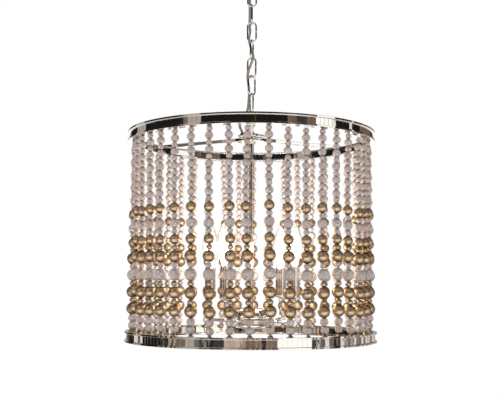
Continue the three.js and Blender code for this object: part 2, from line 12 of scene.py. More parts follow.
import bpy
import numpy as np
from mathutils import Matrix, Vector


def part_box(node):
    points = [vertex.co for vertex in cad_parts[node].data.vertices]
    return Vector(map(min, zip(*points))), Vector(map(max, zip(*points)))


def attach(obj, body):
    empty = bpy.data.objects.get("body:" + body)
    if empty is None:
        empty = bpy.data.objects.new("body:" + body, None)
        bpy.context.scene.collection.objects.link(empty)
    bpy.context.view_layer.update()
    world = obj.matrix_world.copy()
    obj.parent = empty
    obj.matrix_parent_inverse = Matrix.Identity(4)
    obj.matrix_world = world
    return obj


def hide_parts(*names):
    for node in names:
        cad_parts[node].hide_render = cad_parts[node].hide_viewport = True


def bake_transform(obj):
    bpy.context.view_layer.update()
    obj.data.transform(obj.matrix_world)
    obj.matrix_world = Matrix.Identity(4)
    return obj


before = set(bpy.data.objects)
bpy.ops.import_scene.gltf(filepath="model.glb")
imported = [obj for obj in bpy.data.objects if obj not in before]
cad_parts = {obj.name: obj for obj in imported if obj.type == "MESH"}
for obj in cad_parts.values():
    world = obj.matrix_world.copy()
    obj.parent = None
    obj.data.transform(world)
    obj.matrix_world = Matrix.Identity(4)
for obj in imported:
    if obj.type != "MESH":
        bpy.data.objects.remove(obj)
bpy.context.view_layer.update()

MM = 0.001
FULL_TURN = 2 * math.pi
DEGREE = math.pi / 180
chance = np.random.default_rng(42)

# Sizes of the part that the CAD boxes don't give, in millimetres
RIM_THICKNESS = 3.6
RIM_PROJECTION = 4
WEB_THICKNESS = 1.6
FLANGE_WIDTH = 14
LINK_LENGTH = 44.7
LINK_WIDTH = 21
LINK_WIRE = 3.2
LINK_TURNS_DEGREES = [88, 2, 95, 18, 109, 50, -20]
CANOPY_WALL = 1.4
CANOPY_EYE_RADIUS = 10.5
CANOPY_EYE_WIRE = 4.4
CANOPY_EYE_LOW_WIRE = -56.9
NIPPLE_HOLE_RADIUS = 5.2
LOOP_WIRE = 3.6
LOOP_EYE_LENGTH = 35.3
LOOP_EYE_WIDTH = 20
LOOP_STEM_RADIUS = 3.3
LOOP_COLLAR_RADIUS = 5.4
LOOP_COLLAR_HEIGHT = 4
BAR_HALF_WIDTH = 2.5
BAR_BOSS_RADIUS = 4.4
STEM_WALL = 1.2
STEM_HOLE_RADIUS = 5.35
CLUSTER_WALL = 1.5
STRAND_COUNT = 42
STRANDS_PER_CURTAIN = 3
STRAND_PHASE_DEGREES = -1.3
STRAND_CIRCLE_RADIUS = 240
STRING_RADIUS = 0.5
STRING_TIE_RADIUS = 0.42
STRING_TIE_SPREAD = 4
CRIMP_RADIUS = 1.15
BEAD_GAP = 0.2
RING_JOINT_DEGREES = 1.5
LIGHT_ANGLES_DEGREES = [57, 141, 237, 331]
LIGHT_CIRCLE_RADIUS = 102
FILAMENT_ABOVE_SLEEVE = 30
SEAT_GAP = 0.3
ARM_RADIUS = 3.2
ARM_NUT_RADIUS = 4.5
ARM_CENTRE_ABOVE_JOINT = 4
ARM_DIP = 8
ARM_DIP_RUN = 32
ARM_ELBOW_RADIUS = 13
SLEEVE_WALL = 0.9
SOCKET_BORE_RADIUS = 6.25
SOCKET_BORE_DEPTH = 20
CORD_CANOPY_PLACE = (-17, 6, 0)
CORD_HUB_PLACE = (-18, 2, 0)
CORD_WIDTH = 5.2
CORD_THICKNESS = 2.9
CONDUCTOR_RADIUS = 0.62
CORD_POINTS = [
    (-17, 6, -18), (-17, 6, -26), (-16.4, 6, -33), (-12.5, 5.4, -41), (-7.4, 4.8, -49),
    (-5.1, 4.6, -57), (-4.6, 4.6, -72), (-4.6, 4.6, -92), (-4.6, 4.6, -112), (-4.6, 4.6, -130),
    (-4.2, 3.6, -140), (-3.6, 0, -149), (-4.8, -3.4, -158), (-5.8, -4, -168), (-3.6, -4.2, -179),
    (-0.7, -2.4, -188), (2.2, -3.8, -197), (2.8, -5.6, -206), (-1.6, -4.6, -219),
    (-6.4, -2.8, -232), (-8.6, -1.6, -244), (-7.6, 0, -256), (-5.8, 1.4, -270),
    (-5.4, 1.6, -283), (-6.4, 2.8, -301), (-9.6, 4.8, -319), (-17, 4.4, -331), (-23.6, 3.2, -342),
    (-24, 2.4, -351), (-20.4, 2, -359), (-18, 2, -366), (-18, 2, -373),
]
# The flat cord turns a little as it passes through a link: levels, and angles in radians
CORD_TWISTS = [(-366, -330, -260, -206, -168, -130, -60, -18), (0, 0.2, -0.5, 0.3, -0.9, -0.2, 0.1, 0)]

# How finely the surfaces are drawn
AXIS_RADIUS = 0.04
TURNED_SIDES = 72
RING_SIDES = 168
ROD_SIDES = 20
ARC_STEPS = 18
BEND_STEPS = 3
CORD_ROWS = 22
# The corners of a block's back are 0 to 3 and of its front 4 to 7
BLOCK_FACES = np.array([(4, 5, 6, 7), (0, 1, 5, 4), (1, 2, 6, 5), (2, 3, 7, 6), (3, 0, 4, 7),
                        (3, 2, 1, 0)])


# Surfaces

def all_round(count):
    """Angles evenly spaced round a full turn."""
    return np.arange(count) * FULL_TURN / count


def points_of(*coordinates):
    """Points of two or three coordinates, which are numbers or arrays that fit together."""
    return np.stack(np.broadcast_arrays(*coordinates), axis=-1)


def polar(radius, angle, level):
    """Points round the axis: (r sin a, -r cos a, z)."""
    return points_of(radius * np.sin(angle), -radius * np.cos(angle), level)


def circle(radius, sides=ROD_SIDES):
    """Points round a circle: (r cos a, r sin a)."""
    angle = all_round(sides)
    return radius * points_of(np.cos(angle), np.sin(angle))


def grid(points, rows_meet=False):
    """A closed skin over points[row, column].

    Neighbouring rows are joined by four-sided faces, and the columns meet round the back. The
    last row meets the first, or else each end is closed by one flat face.
    """
    rows, columns = points.shape[:2]
    lower = np.arange(rows if rows_meet else rows - 1)[:, None] * columns
    upper = (lower + columns) % (rows * columns)
    column = np.arange(columns)[None, :]
    following = (column + 1) % columns
    sides = np.stack([lower + column, lower + following, upper + following, upper + column], axis=-1)
    faces = [sides.reshape(-1, 4)]
    if not rows_meet:
        faces.append(np.arange(columns)[None, ::-1])
        faces.append((rows - 1) * columns + np.arange(columns)[None, :])
    return points.reshape(-1, 3), faces


def joined(*shapes):
    """Several shapes as one: the points in a row, and each face's numbers moved on to match."""
    starts = np.cumsum([0] + [len(points) for points, faces in shapes[:-1]])
    points = np.concatenate([points for points, faces in shapes])
    faces = [block + start for (_, blocks), start in zip(shapes, starts) for block in blocks]
    return points, faces


def flipped(shape):
    """The same shape with its faces turned to look inwards, as the inside of a shell."""
    points, faces = shape
    return points, [block[:, ::-1] for block in faces]


def placed(shape, turn=0.0, at=(0, 0, 0)):
    """The shape turned about Z by an angle and then moved: x cos - y sin, x sin + y cos."""
    points, faces = shape
    x, y, z = points.T
    moved = points_of(x * math.cos(turn) - y * math.sin(turn),
                      x * math.sin(turn) + y * math.cos(turn), z)
    return moved + np.asarray(at, float), faces


def turned(profile, sides=TURNED_SIDES, rows_meet=False):
    """A body of revolution: a profile point (r, z) goes round to (r sin a, -r cos a, z).

    The profile climbs on the body's outside. One whose rows meet makes a ring.
    """
    radius, height = np.asarray(profile, float).T[:, :, None]
    return grid(polar(np.maximum(radius, AXIS_RADIUS), all_round(sides), height), rows_meet)


def softened(corners, reach, closed=False):
    """A line with its corners rounded: each corner c becomes (1-t)^2 a + 2t(1-t) c + t^2 b.

    a and b lie at the reach from the corner on the lines that meet there. One more point before
    a and after b keeps the flats beside the bend flat when they are shaded.
    """
    corners = np.asarray(corners, float)
    to_last = np.roll(corners, 1, axis=0) - corners
    to_next = np.roll(corners, -1, axis=0) - corners
    last_length = np.linalg.norm(to_last, axis=1, keepdims=True)
    next_length = np.linalg.norm(to_next, axis=1, keepdims=True)
    cut = np.minimum(reach, 0.38 * np.minimum(last_length, next_length))
    to_a = to_last / last_length * cut
    to_b = to_next / next_length * cut
    t = np.linspace(0, 1, BEND_STEPS + 1)[None, :, None]
    bend = ((1 - t) ** 2 * (corners + to_a)[:, None] + 2 * t * (1 - t) * corners[:, None]
            + t ** 2 * (corners + to_b)[:, None])
    before = (corners + 1.25 * to_a)[:, None]
    after = (corners + 1.25 * to_b)[:, None]
    rows = np.concatenate([before, bend, after], axis=1)
    if closed:
        return rows.reshape(-1, corners.shape[1])
    return np.concatenate([corners[:1], rows[1:-1].reshape(-1, corners.shape[1]), corners[-1:]])


def lathe(corners, reach, sides=TURNED_SIDES, hollow=False, level=0):
    """A body of revolution with softened corners, whose heights are counted from the level."""
    corners = np.asarray(corners, float) + [0, level]
    return turned(softened(corners, reach, closed=hollow), sides, rows_meet=hollow)


def pipe(inner, outer, bottom, top, reach, sides=TURNED_SIDES):
    """A round tube or flat washer with softened edges."""
    return lathe([(inner, bottom), (outer, bottom), (outer, top), (inner, top)], reach, sides, True)


def spline(points, steps, level=0):
    """A centripetal Catmull-Rom curve through the points, with some steps between each two.

    The knots lie apart by the square roots of the distances, and three rounds of straight
    blends between knots give the curve. Heights, the last coordinate, are counted from level.
    """
    points = np.array(points, float)
    points[:, -1] += level
    around = np.concatenate([2 * points[:1] - points[1:2], points, 2 * points[-1:] - points[-2:-1]])
    spans = np.sqrt(np.linalg.norm(np.diff(around, axis=0), axis=1))
    knots = np.concatenate([[0], np.cumsum(spans)])
    count = len(points) - 1
    p = [around[first:first + count, None] for first in range(4)]
    k = [knots[first:first + count, None, None] for first in range(4)]
    t = k[1] + (k[2] - k[1]) * np.arange(steps)[None, :, None] / steps

    def blend(low, high, from_knot, to_knot):
        return ((to_knot - t) * low + (t - from_knot) * high) / (to_knot - from_knot)

    first = [blend(p[i], p[i + 1], k[i], k[i + 1]) for i in range(3)]
    second = [blend(first[i], first[i + 1], k[i], k[i + 2]) for i in range(2)]
    curve = blend(second[0], second[1], k[1], k[2])
    return np.concatenate([curve.reshape(-1, points.shape[1]), points[-1:]])


def along(path, closes=False):
    """The directions of a path: each point's next neighbour less its last one, at length one."""
    if closes:
        steps = np.roll(path, -1, axis=0) - np.roll(path, 1, axis=0)
    else:
        steps = np.gradient(path, axis=0)
    return steps / np.linalg.norm(steps, axis=1, keepdims=True)


def squared(forwards, side):
    """Two directions square to the path's: side made square to it, and the one across both."""
    across = np.cross(forwards, np.broadcast_to(np.asarray(side, float), forwards.shape))
    across /= np.linalg.norm(across, axis=1, keepdims=True)
    return np.cross(across, forwards), across


def swept(path, section, side, shares=1.0, closes=False, forwards=None):
    """A section carried along a path: its point (u, v) goes to path + u side + v across.

    side and across are square to the path. shares scales the section at each point of it.
    """
    path = np.asarray(path, float)
    forwards = along(path, closes) if forwards is None else forwards
    side, across = squared(forwards, side)
    scale = np.broadcast_to(shares, len(path))[:, None, None]
    u = section[None, :, 0, None]
    v = section[None, :, 1, None]
    points = path[:, None] + scale * (u * side[:, None] + v * across[:, None])
    return grid(points, closes)


def rod(section, start, direction, distances, shares):
    """A straight rod: the section at distances from the start, scaled there by the shares."""
    path = np.asarray(start, float) + np.multiply.outer(distances, direction)
    return swept(path, section, (1, 0, 0), shares)


def offset(profile, distance):
    """A profile moved in by a distance, square to its own direction at each point."""
    forward = along(np.asarray(profile, float))
    moved = profile + distance * points_of(-forward[:, 1], forward[:, 0])
    moved[:, 0] = np.maximum(moved[:, 0], AXIS_RADIUS)
    return moved


def oval_eye(length, width, wire, centre, turn=0.0, seam=False):
    """A wire bent into an oval in an upright plane: two half circles joined by straight legs.

    At angle a the wire's middle is (b cos a, c +- h + b sin a), with b half of the width less
    the wire, and h half of what the length has over the width. A seam is a shallow groove round
    the middle of one leg, where the ends of the wire meet.
    """
    bend = (width - wire) / 2
    rise = (length - width) / 2
    angle = np.linspace(0, math.pi, ARC_STEPS)
    upper = points_of(bend * np.cos(angle), rise + bend * np.sin(angle))
    leg = [[bend, height] for height in (-1.1, -0.6, -0.35, 0.35, 0.6, 1.1)]
    path = np.concatenate([upper, [[-bend, 0]], -upper, leg])
    shares = np.ones(len(path))
    if seam:
        shares[-4:-2] = 0.82
    path = np.insert(path, 1, 0, axis=1)
    shape = swept(path, circle(wire / 2, 14), (0, 1, 0), shares, closes=True)
    return placed(shape, turn, (0, 0, centre))


# Materials

def colour(shade):
    """A shader's colour for an sRGB code such as #D9D2C7, or for a number, a plain grey."""
    if not isinstance(shade, str):
        return (shade, shade, shade, 1.0)
    parts = np.array([int(shade[first:first + 2], 16) for first in (1, 3, 5)]) / 255
    linear = np.where(parts <= 0.04045, parts / 12.92, ((parts + 0.055) / 1.055) ** 2.4)
    return (*linear.tolist(), 1.0)


def feed(node, inputs):
    """Sets a node's inputs: each gets a value, a colour code or a socket that feeds it."""
    for name, value in inputs.items():
        if isinstance(value, bpy.types.NodeSocket):
            node.id_data.links.new(value, node.inputs[name])
        else:
            node.inputs[name].default_value = colour(value) if isinstance(value, str) else value


def add_node(tree, kind, inputs=None, **settings):
    """Adds a node with its settings and inputs, and returns its first output that is in use."""
    node = tree.nodes.new(f"ShaderNode{kind}")
    for name, value in settings.items():
        setattr(node, name, value)
    feed(node, inputs or {})
    return next((socket for socket in node.outputs if socket.enabled), None)


def empty_tree(owner):
    """The node tree of a material or a world, with no nodes in it yet."""
    owner.use_nodes = True
    owner.node_tree.nodes.clear()
    return owner.node_tree


def maths(tree, operation, *values, kind="Math"):
    """A maths node over the values, which are numbers or sockets."""
    return add_node(tree, kind, dict(enumerate(values)), operation=operation)


def mixed(tree, factor, first, second, blend_type="MIX"):
    """One colour blended into another."""
    return add_node(tree, "Mix", {"Factor": factor, "A": first, "B": second}, data_type="RGBA",
                    blend_type=blend_type)


def remapped(tree, value, start, end, low=0.0, high=1.0, **settings):
    """A value between start and end, brought between low and high."""
    return add_node(tree, "MapRange", {"Value": value, "From Min": start, "From Max": end,
                                       "To Min": low, "To Max": high}, **settings)


def ramp(tree, factor, stops, interpolation="LINEAR"):
    """A colour ramp with its stops' places and shades."""
    socket = add_node(tree, "ValToRGB", {"Fac": factor})
    colours = socket.node.color_ramp
    for number, (place, shade) in enumerate(stops):
        stop = colours.elements[number] if number < 2 else colours.elements.new(place)
        stop.position = place
        stop.color = colour(shade)
    colours.interpolation = interpolation
    return socket


def attribute(tree, name, output="Fac"):
    """A value that the mesh holds at its points."""
    return add_node(tree, "Attribute", attribute_name=name).node.outputs[output]


def noise(tree, size_mm, detail=3.0, stretch=(1, 1, 1), source=None):
    """A noise pattern whose lumps are about size_mm across, longer where stretch is small."""
    source = source or add_node(tree, "TexCoord").node.outputs["Object"]
    place = add_node(tree, "Mapping", {
        "Vector": source, "Scale": [share / (size_mm * MM) for share in stretch]})
    return add_node(tree, "TexNoise", {
        "Vector": place, "Scale": 1.0, "Detail": detail, "Roughness": 0.55})


def new_material(name, inputs):
    """A material with a Principled shader, returned with its node tree and shader."""
    material = bpy.data.materials.new(name)
    material.use_nodes = True
    shader = material.node_tree.nodes["Principled BSDF"]
    feed(shader, inputs)
    return material, material.node_tree, shader


def add_bump(shader, height, depth_mm):
    """Feeds a height pattern to the shader's normal as a bump of that depth."""
    feed(shader, {"Normal": add_node(shader.id_data, "Bump", {
        "Height": height, "Distance": depth_mm * MM, "Strength": 1.0})})


def make_nickel():
    """Polished nickel plate on steel: a warm mirror with a faint waviness left by the buffing."""
    material, tree, shader = new_material("polished_nickel_plate", {
        "Base Color": "#E3DED8", "Metallic": 1.0})
    feed(shader, {"Roughness": remapped(tree, noise(tree, 25, 4.0), 0.3, 0.75, 0.025, 0.07)})
    add_bump(shader, noise(tree, 9, 1.0), 0.03)
    return material


def darker_ends(tree, shade, code):
    """The shade, multiplied by a darker one round the two holes of a bead: partly painted shade where
    neighbouring beads touch, partly the darker end grain and unpainted wood at the holes.
    """
    ends = ramp(tree, attribute(tree, "end"), [(0.6, "#FFFFFF"), (1.0, code)])
    return mixed(tree, 1.0, shade, ends, "MULTIPLY")


def make_washed_wood():
    """Turned wooden beads with a whitewash rubbed into the grain: matt, streaky, greyish."""
    material, tree, shader = new_material("whitewashed_wood", {
        "Roughness": 0.78, "Specular IOR Level": 0.3})
    grain = attribute(tree, "grain", "Vector")
    # The wood's streaks are about 0.4 mm wide, drawn wider so that they show
    streaks = noise(tree, 1.7, 3.0, (1, 1, 0.2), grain)
    wash = ramp(tree, streaks, [(0.33, "#8A807D"), (0.5, "#C4BBB7"), (0.66, "#E8E4E2")])
    # Each bead has its own tint, from warm to cool
    tint = ramp(tree, attribute(tree, "tone"), [(0.0, "#F7E8DC"), (0.5, "#F9F2EC"), (1.0, "#F3F1F6")])
    tinted = mixed(tree, 1.0, wash, tint, "MULTIPLY")
    worn = remapped(tree, noise(tree, 4.6, 2.0, (1, 1, 0.6), grain), 0.38, 0.68, 0.0, 0.6)
    bare = mixed(tree, worn, tinted, "#9E9089")
    # Darker round the holes: partly painted shade where beads touch, partly the end grain there
    feed(shader, {"Base Color": darker_ends(tree, bare, "#C0B6AE")})
    add_bump(shader, streaks, 0.12)
    return material


def make_gold_paint():
    """Satin gold paint on turned wood: metallic flakes, soft highlights, fine brush marks.

    The flakes lie flat, so the paint mirrors less at the bead's outline than a solid metal. The
    specular tint does that.
    """
    material, tree, shader = new_material("satin_gold_paint", {
        "Metallic": 0.9, "Roughness": 0.36, "Specular Tint": "#7A5C3C"})
    brush = noise(tree, 2.6, 3.0, (1, 1, 0.4), attribute(tree, "grain", "Vector"))
    flakes = ramp(tree, brush, [(0.3, "#A58A6C"), (0.7, "#E4C9A6")])
    # Darker round the holes: partly painted shade where beads touch, partly wood that the paint missed
    feed(shader, {"Base Color": darker_ends(tree, flakes, "#7E6A50")})
    add_bump(shader, brush, 0.35)
    return material


def make_lamp_glass():
    """Clear soda-lime glass of a lamp bulb, blown thin, with a trace of haze.

    The wall is seen edge on at the outline, and is tinted grey there: partly for the light's longer
    path through the glass, partly as a painted reflection of the dark inside.
    """
    material, tree, shader = new_material("clear_lamp_glass", {
        "Roughness": 0.0, "IOR": 1.45, "Transmission Weight": 0.97})
    facing = add_node(tree, "LayerWeight", {"Blend": 0.5}).node.outputs["Facing"]
    # Grey towards the outline: partly the longer path through the glass, partly a painted dark
    # reflection
    feed(shader, {"Base Color": ramp(tree, facing, [
        (0.1, "#FBFAF7"), (0.45, "#DAD6D2"), (0.8, "#8F8A86")])})
    add_bump(shader, noise(tree, 14, 1.0), 0.02)
    return material


def make_plain(name, inputs, size_mm, depth_mm, detail=3.0, stretch=(1, 1, 1)):
    """A material of one colour with a fine pattern of its own size and depth in its surface."""
    material, tree, shader = new_material(name, inputs)
    add_bump(shader, noise(tree, size_mm, detail, stretch), depth_mm)
    return material


def make_metal(name, code, roughness, size_mm, depth_mm, stretch=(1, 1, 1)):
    """A plain metal."""
    inputs = {"Base Color": code, "Metallic": 1.0, "Roughness": roughness}
    return make_plain(name, inputs, size_mm, depth_mm, stretch=stretch)


NICKEL = make_nickel()
WASHED_WOOD = make_washed_wood()
GOLD_PAINT = make_gold_paint()
LAMP_GLASS = make_lamp_glass()
# Black phenolic resin of the lamp sockets: moulded, slightly glossy
PHENOLIC = make_plain("black_phenolic_resin", {"Base Color": "#23201D", "Roughness": 0.42},
                      0.8, 0.03, 4.0)
# Clear PVC of the lamp cord: see-through, a little hazy and yellowed
VINYL = make_plain("clear_cord_vinyl", {
    "Base Color": "#A69C95", "Roughness": 0.22, "IOR": 1.53, "Transmission Weight": 0.4},
    4, 0.08, 2.0)
# The tungsten filament, white hot
FILAMENT = new_material("hot_tungsten", {
    "Base Color": "#FFE2B8", "Roughness": 0.5, "Emission Color": "#FFEBD0",
    "Emission Strength": 60.0})[0]
# Zinc-plated pressed steel of the parts inside the canopy: dull, with a rolled surface
ZINC_STEEL = make_metal("zinc_plated_steel", "#A9ABAD", 0.42, 1.5, 0.05, (1, 0.2, 1))
# Drawn steel stringing wire, and the darker crimps that hold its ends
STRINGING_WIRE = make_metal("drawn_steel_wire", "#B9B2A8", 0.25, 0.6, 0.01)
CRIMP_METAL = make_metal("oxidised_crimp", "#3A3531", 0.45, 0.5, 0.03)
# Stranded copper conductors seen through the cord
COPPER = make_metal("stranded_copper", "#7A6052", 0.38, 0.4, 0.06, (1, 1, 0.3))
# Rolled brass of the lamps' screw shells, and of the solder in the ring's joint
LAMP_BRASS = make_metal("rolled_brass", "#C9A667", 0.28, 0.8, 0.02)


# Pieces

def add_object(name, data):
    """Puts a new object with its data into the scene."""
    thing = bpy.data.objects.new(name, data)
    bpy.context.scene.collection.objects.link(thing)
    return thing


def add_piece(name, parts, *nodes, body="drum", smooth=True, attributes=None):
    """Makes one object of shapes and their materials, in place of CAD nodes and on a body.

    attributes are point values by name: numbers, or vectors in millimetres.
    """
    points, blocks = joined(*[shape for shape, _ in parts])
    mesh = bpy.data.meshes.new(name)
    mesh.from_pydata(points * MM, [], [face for block in blocks for face in block.tolist()])
    materials = list(dict.fromkeys(material for _, material in parts))
    for material in materials:
        mesh.materials.append(material)
    numbers = [np.full(sum(map(len, faces)), materials.index(material))
               for (_, faces), material in parts]
    mesh.polygons.foreach_set("material_index", np.concatenate(numbers))
    mesh.polygons.foreach_set("use_smooth", np.full(len(mesh.polygons), smooth))
    for key, values in (attributes or {}).items():
        if values.ndim == 1:
            layer = mesh.attributes.new(key, "FLOAT", "POINT")
            layer.data.foreach_set("value", values.astype(np.float32))
        else:
            layer = mesh.attributes.new(key, "FLOAT_VECTOR", "POINT")
            layer.data.foreach_set("vector", (values * MM).astype(np.float32).ravel())
    piece = add_object(name, mesh)
    if body is not None:
        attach(piece, body)
    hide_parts(*nodes)
    return piece


def add_nickel(name, node, *shapes, body="drum"):
    """A piece all of polished nickel, in place of one CAD node."""
    add_piece(name, [(shape, NICKEL) for shape in shapes], node, body=body)


def extents(node):
    """Half the larger side of a CAD node's box, and its lowest and highest level, all in mm."""
    low, high = np.array(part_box(node)) / MM
    return max(high[0] - low[0], high[1] - low[1]) / 2, low[2], high[2]


def heights(node):
    """The lowest and highest level of a CAD node, in millimetres."""
    return extents(node)[1:]


def middle_of(node):
    """The level halfway up a CAD node, in millimetres."""
    return sum(heights(node)) / 2


def outline(node, shares):
    """Profile points, given as shares of a CAD node's radius and of its height."""
    wide, bottom, top = extents(node)
    return [(wide * across, bottom + (top - bottom) * up) for across, up in shares]


def add_ceiling_fittings():
    """The crossbar, nipple, canopy dish, its loop and the cord's bushing."""
    crossbar = add_object("crossbar_plate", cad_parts["ceiling_crossbar"].data.copy())
    crossbar.modifiers.new("weld", "WELD").merge_threshold = 0.01 * MM
    bevel = crossbar.modifiers.new("pressed_edges", "BEVEL")
    bevel.width = 0.35 * MM
    bevel.segments = 2
    bevel.limit_method = "ANGLE"
    crossbar.data.materials.clear()
    crossbar.data.materials.append(ZINC_STEEL)
    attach(crossbar, "ceiling_fitting")
    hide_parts("ceiling_crossbar")

    # The nipple's thread is a row of shallow rings, 1 mm apart
    wide, bottom, top = extents("hanging_nipple")
    level = np.linspace(bottom, top, int((top - bottom) * 6))
    thread = wide - 0.25 + 0.25 * np.cos(FULL_TURN * level)
    nipple = np.concatenate([[[0, bottom]], points_of(thread, level), [[0, top]]])
    add_piece("threaded_nipple", [(turned(nipple, 32), ZINC_STEEL)], "hanging_nipple",
              body="ceiling_fitting")

    wide, bottom, top = extents("canopy")
    line = outline("canopy", [(0.3, 0), (0.55, 0.08), (0.8, 0.36), (0.93, 0.74), (1, 0.84), (1, 1)])
    inside = [(radius - CANOPY_WALL, level + CANOPY_WALL) for radius, level in line[-2::-1]]
    profile = [(NIPPLE_HOLE_RADIUS, bottom), *line, (wide - CANOPY_WALL, top), *inside,
               (NIPPLE_HOLE_RADIUS, bottom + CANOPY_WALL)]
    reach = np.full((len(profile), 1), 0.4)
    reach[2:5] = 5
    reach[5] = 1.2
    reach[8:12] = 5
    add_nickel("canopy_dish", "canopy", lathe(profile, reach, 96, hollow=True),
               body="ceiling_fitting")

    wide, bottom, top = extents("canopy_loop")
    eye_span = 2 * CANOPY_EYE_RADIUS + CANOPY_EYE_WIRE
    low = bottom + eye_span - 3
    collar = lathe([(0, low), (6.5, low), (8, low + 1.6), (wide, low + 2.6), (wide, top - 1.5),
                    (wide - 1.2, top), (0, top)], 1.1)
    eye = oval_eye(eye_span, eye_span, CANOPY_EYE_WIRE, CANOPY_EYE_LOW_WIRE + CANOPY_EYE_RADIUS,
                   math.pi / 2)
    add_nickel("canopy_screw_loop", "canopy_loop", collar, eye, body="ceiling_fitting")

    bottom, top = heights("cord_bushing")
    bushing = lathe([(2.9, bottom), (5.8, bottom), (5.8, bottom + 1.6), (4.2, bottom + 1.6),
                     (4.2, top), (2.9, top)], 0.4, 32, hollow=True)
    add_piece("canopy_cord_bushing", [(placed(bushing, at=CORD_CANOPY_PLACE), PHENOLIC)],
              "cord_bushing", body="ceiling_fitting")


def add_chain():
    """The seven links and the fixture loop."""
    for number, turn_degrees in enumerate(LINK_TURNS_DEGREES, start=1):
        node = f"chain_link_{number}"
        turn = (90 - turn_degrees) * DEGREE
        link = oval_eye(LINK_LENGTH, LINK_WIDTH, LINK_WIRE, middle_of(node), turn, seam=True)
        add_nickel(f"bent_wire_link_{number}", node, link, body=f"link_{number}")

    bottom, top = heights("fixture_loop")
    eye_centre = top - LOOP_EYE_LENGTH / 2
    eye = oval_eye(LOOP_EYE_LENGTH, LOOP_EYE_WIDTH, LOOP_WIRE, eye_centre)
    stem_top = eye_centre - LOOP_EYE_LENGTH / 2 + 1.2
    collar_top = bottom + LOOP_COLLAR_HEIGHT
    stem = lathe([(0, bottom), (LOOP_COLLAR_RADIUS, bottom), (LOOP_COLLAR_RADIUS, collar_top),
                  (LOOP_STEM_RADIUS, collar_top), (LOOP_STEM_RADIUS, stem_top - 3),
                  (LOOP_STEM_RADIUS * 1.25, stem_top - 1.4), (LOOP_STEM_RADIUS * 0.8, stem_top),
                  (0, stem_top)], 0.5, 40)
    add_nickel("hub_screw_loop", "fixture_loop", eye, stem)


def add_cord():
    """The clear flat cord and its two conductors, in eight lengths.

    Each length is cut off at the middle of a link.
    """
    route = spline(CORD_POINTS, 10)[::-1]
    link_middles = [middle_of(f"chain_link_{number}") for number in range(1, 8)]
    cuts = [route[-1, 2], *link_middles, route[0, 2]]
    levels = np.concatenate([np.linspace(high, low, CORD_ROWS, endpoint=False)
                             for high, low in zip(cuts[:-1], cuts[1:])] + [[cuts[-1]]])
    path = points_of(np.interp(levels, route[:, 2], route[:, 0]),
                     np.interp(levels, route[:, 2], route[:, 1]), levels)
    forwards = along(path)
    twist = np.interp(levels, *CORD_TWISTS)
    side, _ = squared(forwards, points_of(np.cos(twist), np.sin(twist), 0))

    # The section is two rounds side by side with a shallow web between them
    angle = all_round(28)
    waist = 1 - 0.16 * np.exp(-(np.cos(angle) / 0.28) ** 2)
    rounded = np.sign(np.sin(angle)) * np.abs(np.sin(angle)) ** 0.75
    section = points_of(CORD_WIDTH / 2 * np.cos(angle), CORD_THICKNESS / 2 * waist * rounded)
    for number in range(8):
        rows = slice(number * CORD_ROWS, (number + 1) * CORD_ROWS + 1)
        parts = [(swept(path[rows], section, side[rows], forwards=forwards[rows]), VINYL)]
        for place in (-1, 1):
            middle = path[rows] + place * CORD_WIDTH / 4 * side[rows]
            parts.append((swept(middle, circle(CONDUCTOR_RADIUS, 10), side[rows],
                                forwards=forwards[rows]), COPPER))
        piece = add_piece(f"cord_length_{number + 1}", parts, "supply_cord", body=None)
        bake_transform(piece)

    top = heights("hub_plate_upper")[1]
    grommet = lathe([(2.8, -3.2), (5.2, -3.2), (5.2, -0.4), (4, 1.6), (2.8, 1.6)], 0.6, 32,
                    hollow=True, level=top)
    add_piece("hub_cord_grommet", [(placed(grommet, at=CORD_HUB_PLACE), PHENOLIC)])


def add_hub():
    """The hub's domed plate, core and lower plate, the three bars and the stem."""
    wide, _, top = extents("hub_plate_upper")
    line = outline("hub_plate_upper", [(0, 0), (1, 0), (1, 0.3), (0.62, 0.72)])
    add_nickel("hub_domed_plate", "hub_plate_upper",
               lathe([*line, (7.5, top), (0, top)], np.array([[1], [0.6], [0.6], [6], [2], [1]])))

    core_wide, core_bottom, core_top = extents("hub_core")
    add_nickel("hub_round_core", "hub_core",
               pipe(STEM_HOLE_RADIUS, core_wide, core_bottom, core_top, 0.4, 48))
    add_nickel("hub_flat_plate", "hub_plate_lower",
               pipe(STEM_HOLE_RADIUS, wide, *heights("hub_plate_lower"), 0.7))

    half_height = (core_top - core_bottom) / 2
    section = softened([(-BAR_HALF_WIDTH, -half_height), (BAR_HALF_WIDTH, -half_height),
                        (BAR_HALF_WIDTH, half_height), (-BAR_HALF_WIDTH, half_height)], 0.5,
                       closed=True)
    web_inner = extents("top_ring")[0] - RIM_PROJECTION - WEB_THICKNESS
    # The ring's solid has 56 sides, and the bar stops short of their flats
    end = web_inner * math.cos(math.pi / 56) - SEAT_GAP
    start = (0, 0, middle_of("hub_core"))
    bar = rod(section, start, (0, -1, 0), [9.3, 9.7, 60, 120, 180, end - 0.4, end],
              [0.9, 1, 1, 1, 1, 1, 0.9])
    boss = rod(circle(BAR_BOSS_RADIUS, 28), start, (0, -1, 0),
               end - np.array([7, 6.7, 6.2, 5.6, 1.6, 1.2, 0.2, 0]),
               [0.72, 0.86, 0.96, 1, 1, 0.9, 0.88, 0.8])
    for number in range(3):
        turn = FULL_TURN * number / 3
        add_nickel(f"spider_flat_bar_{number + 1}", f"spider_bar_{number + 1}",
                   placed(bar, turn), placed(boss, turn))

    wide, bottom, top = extents("stem")
    add_nickel("stem_tube", "stem", pipe(wide - STEM_WALL, wide, bottom, top, 0.3, 48))


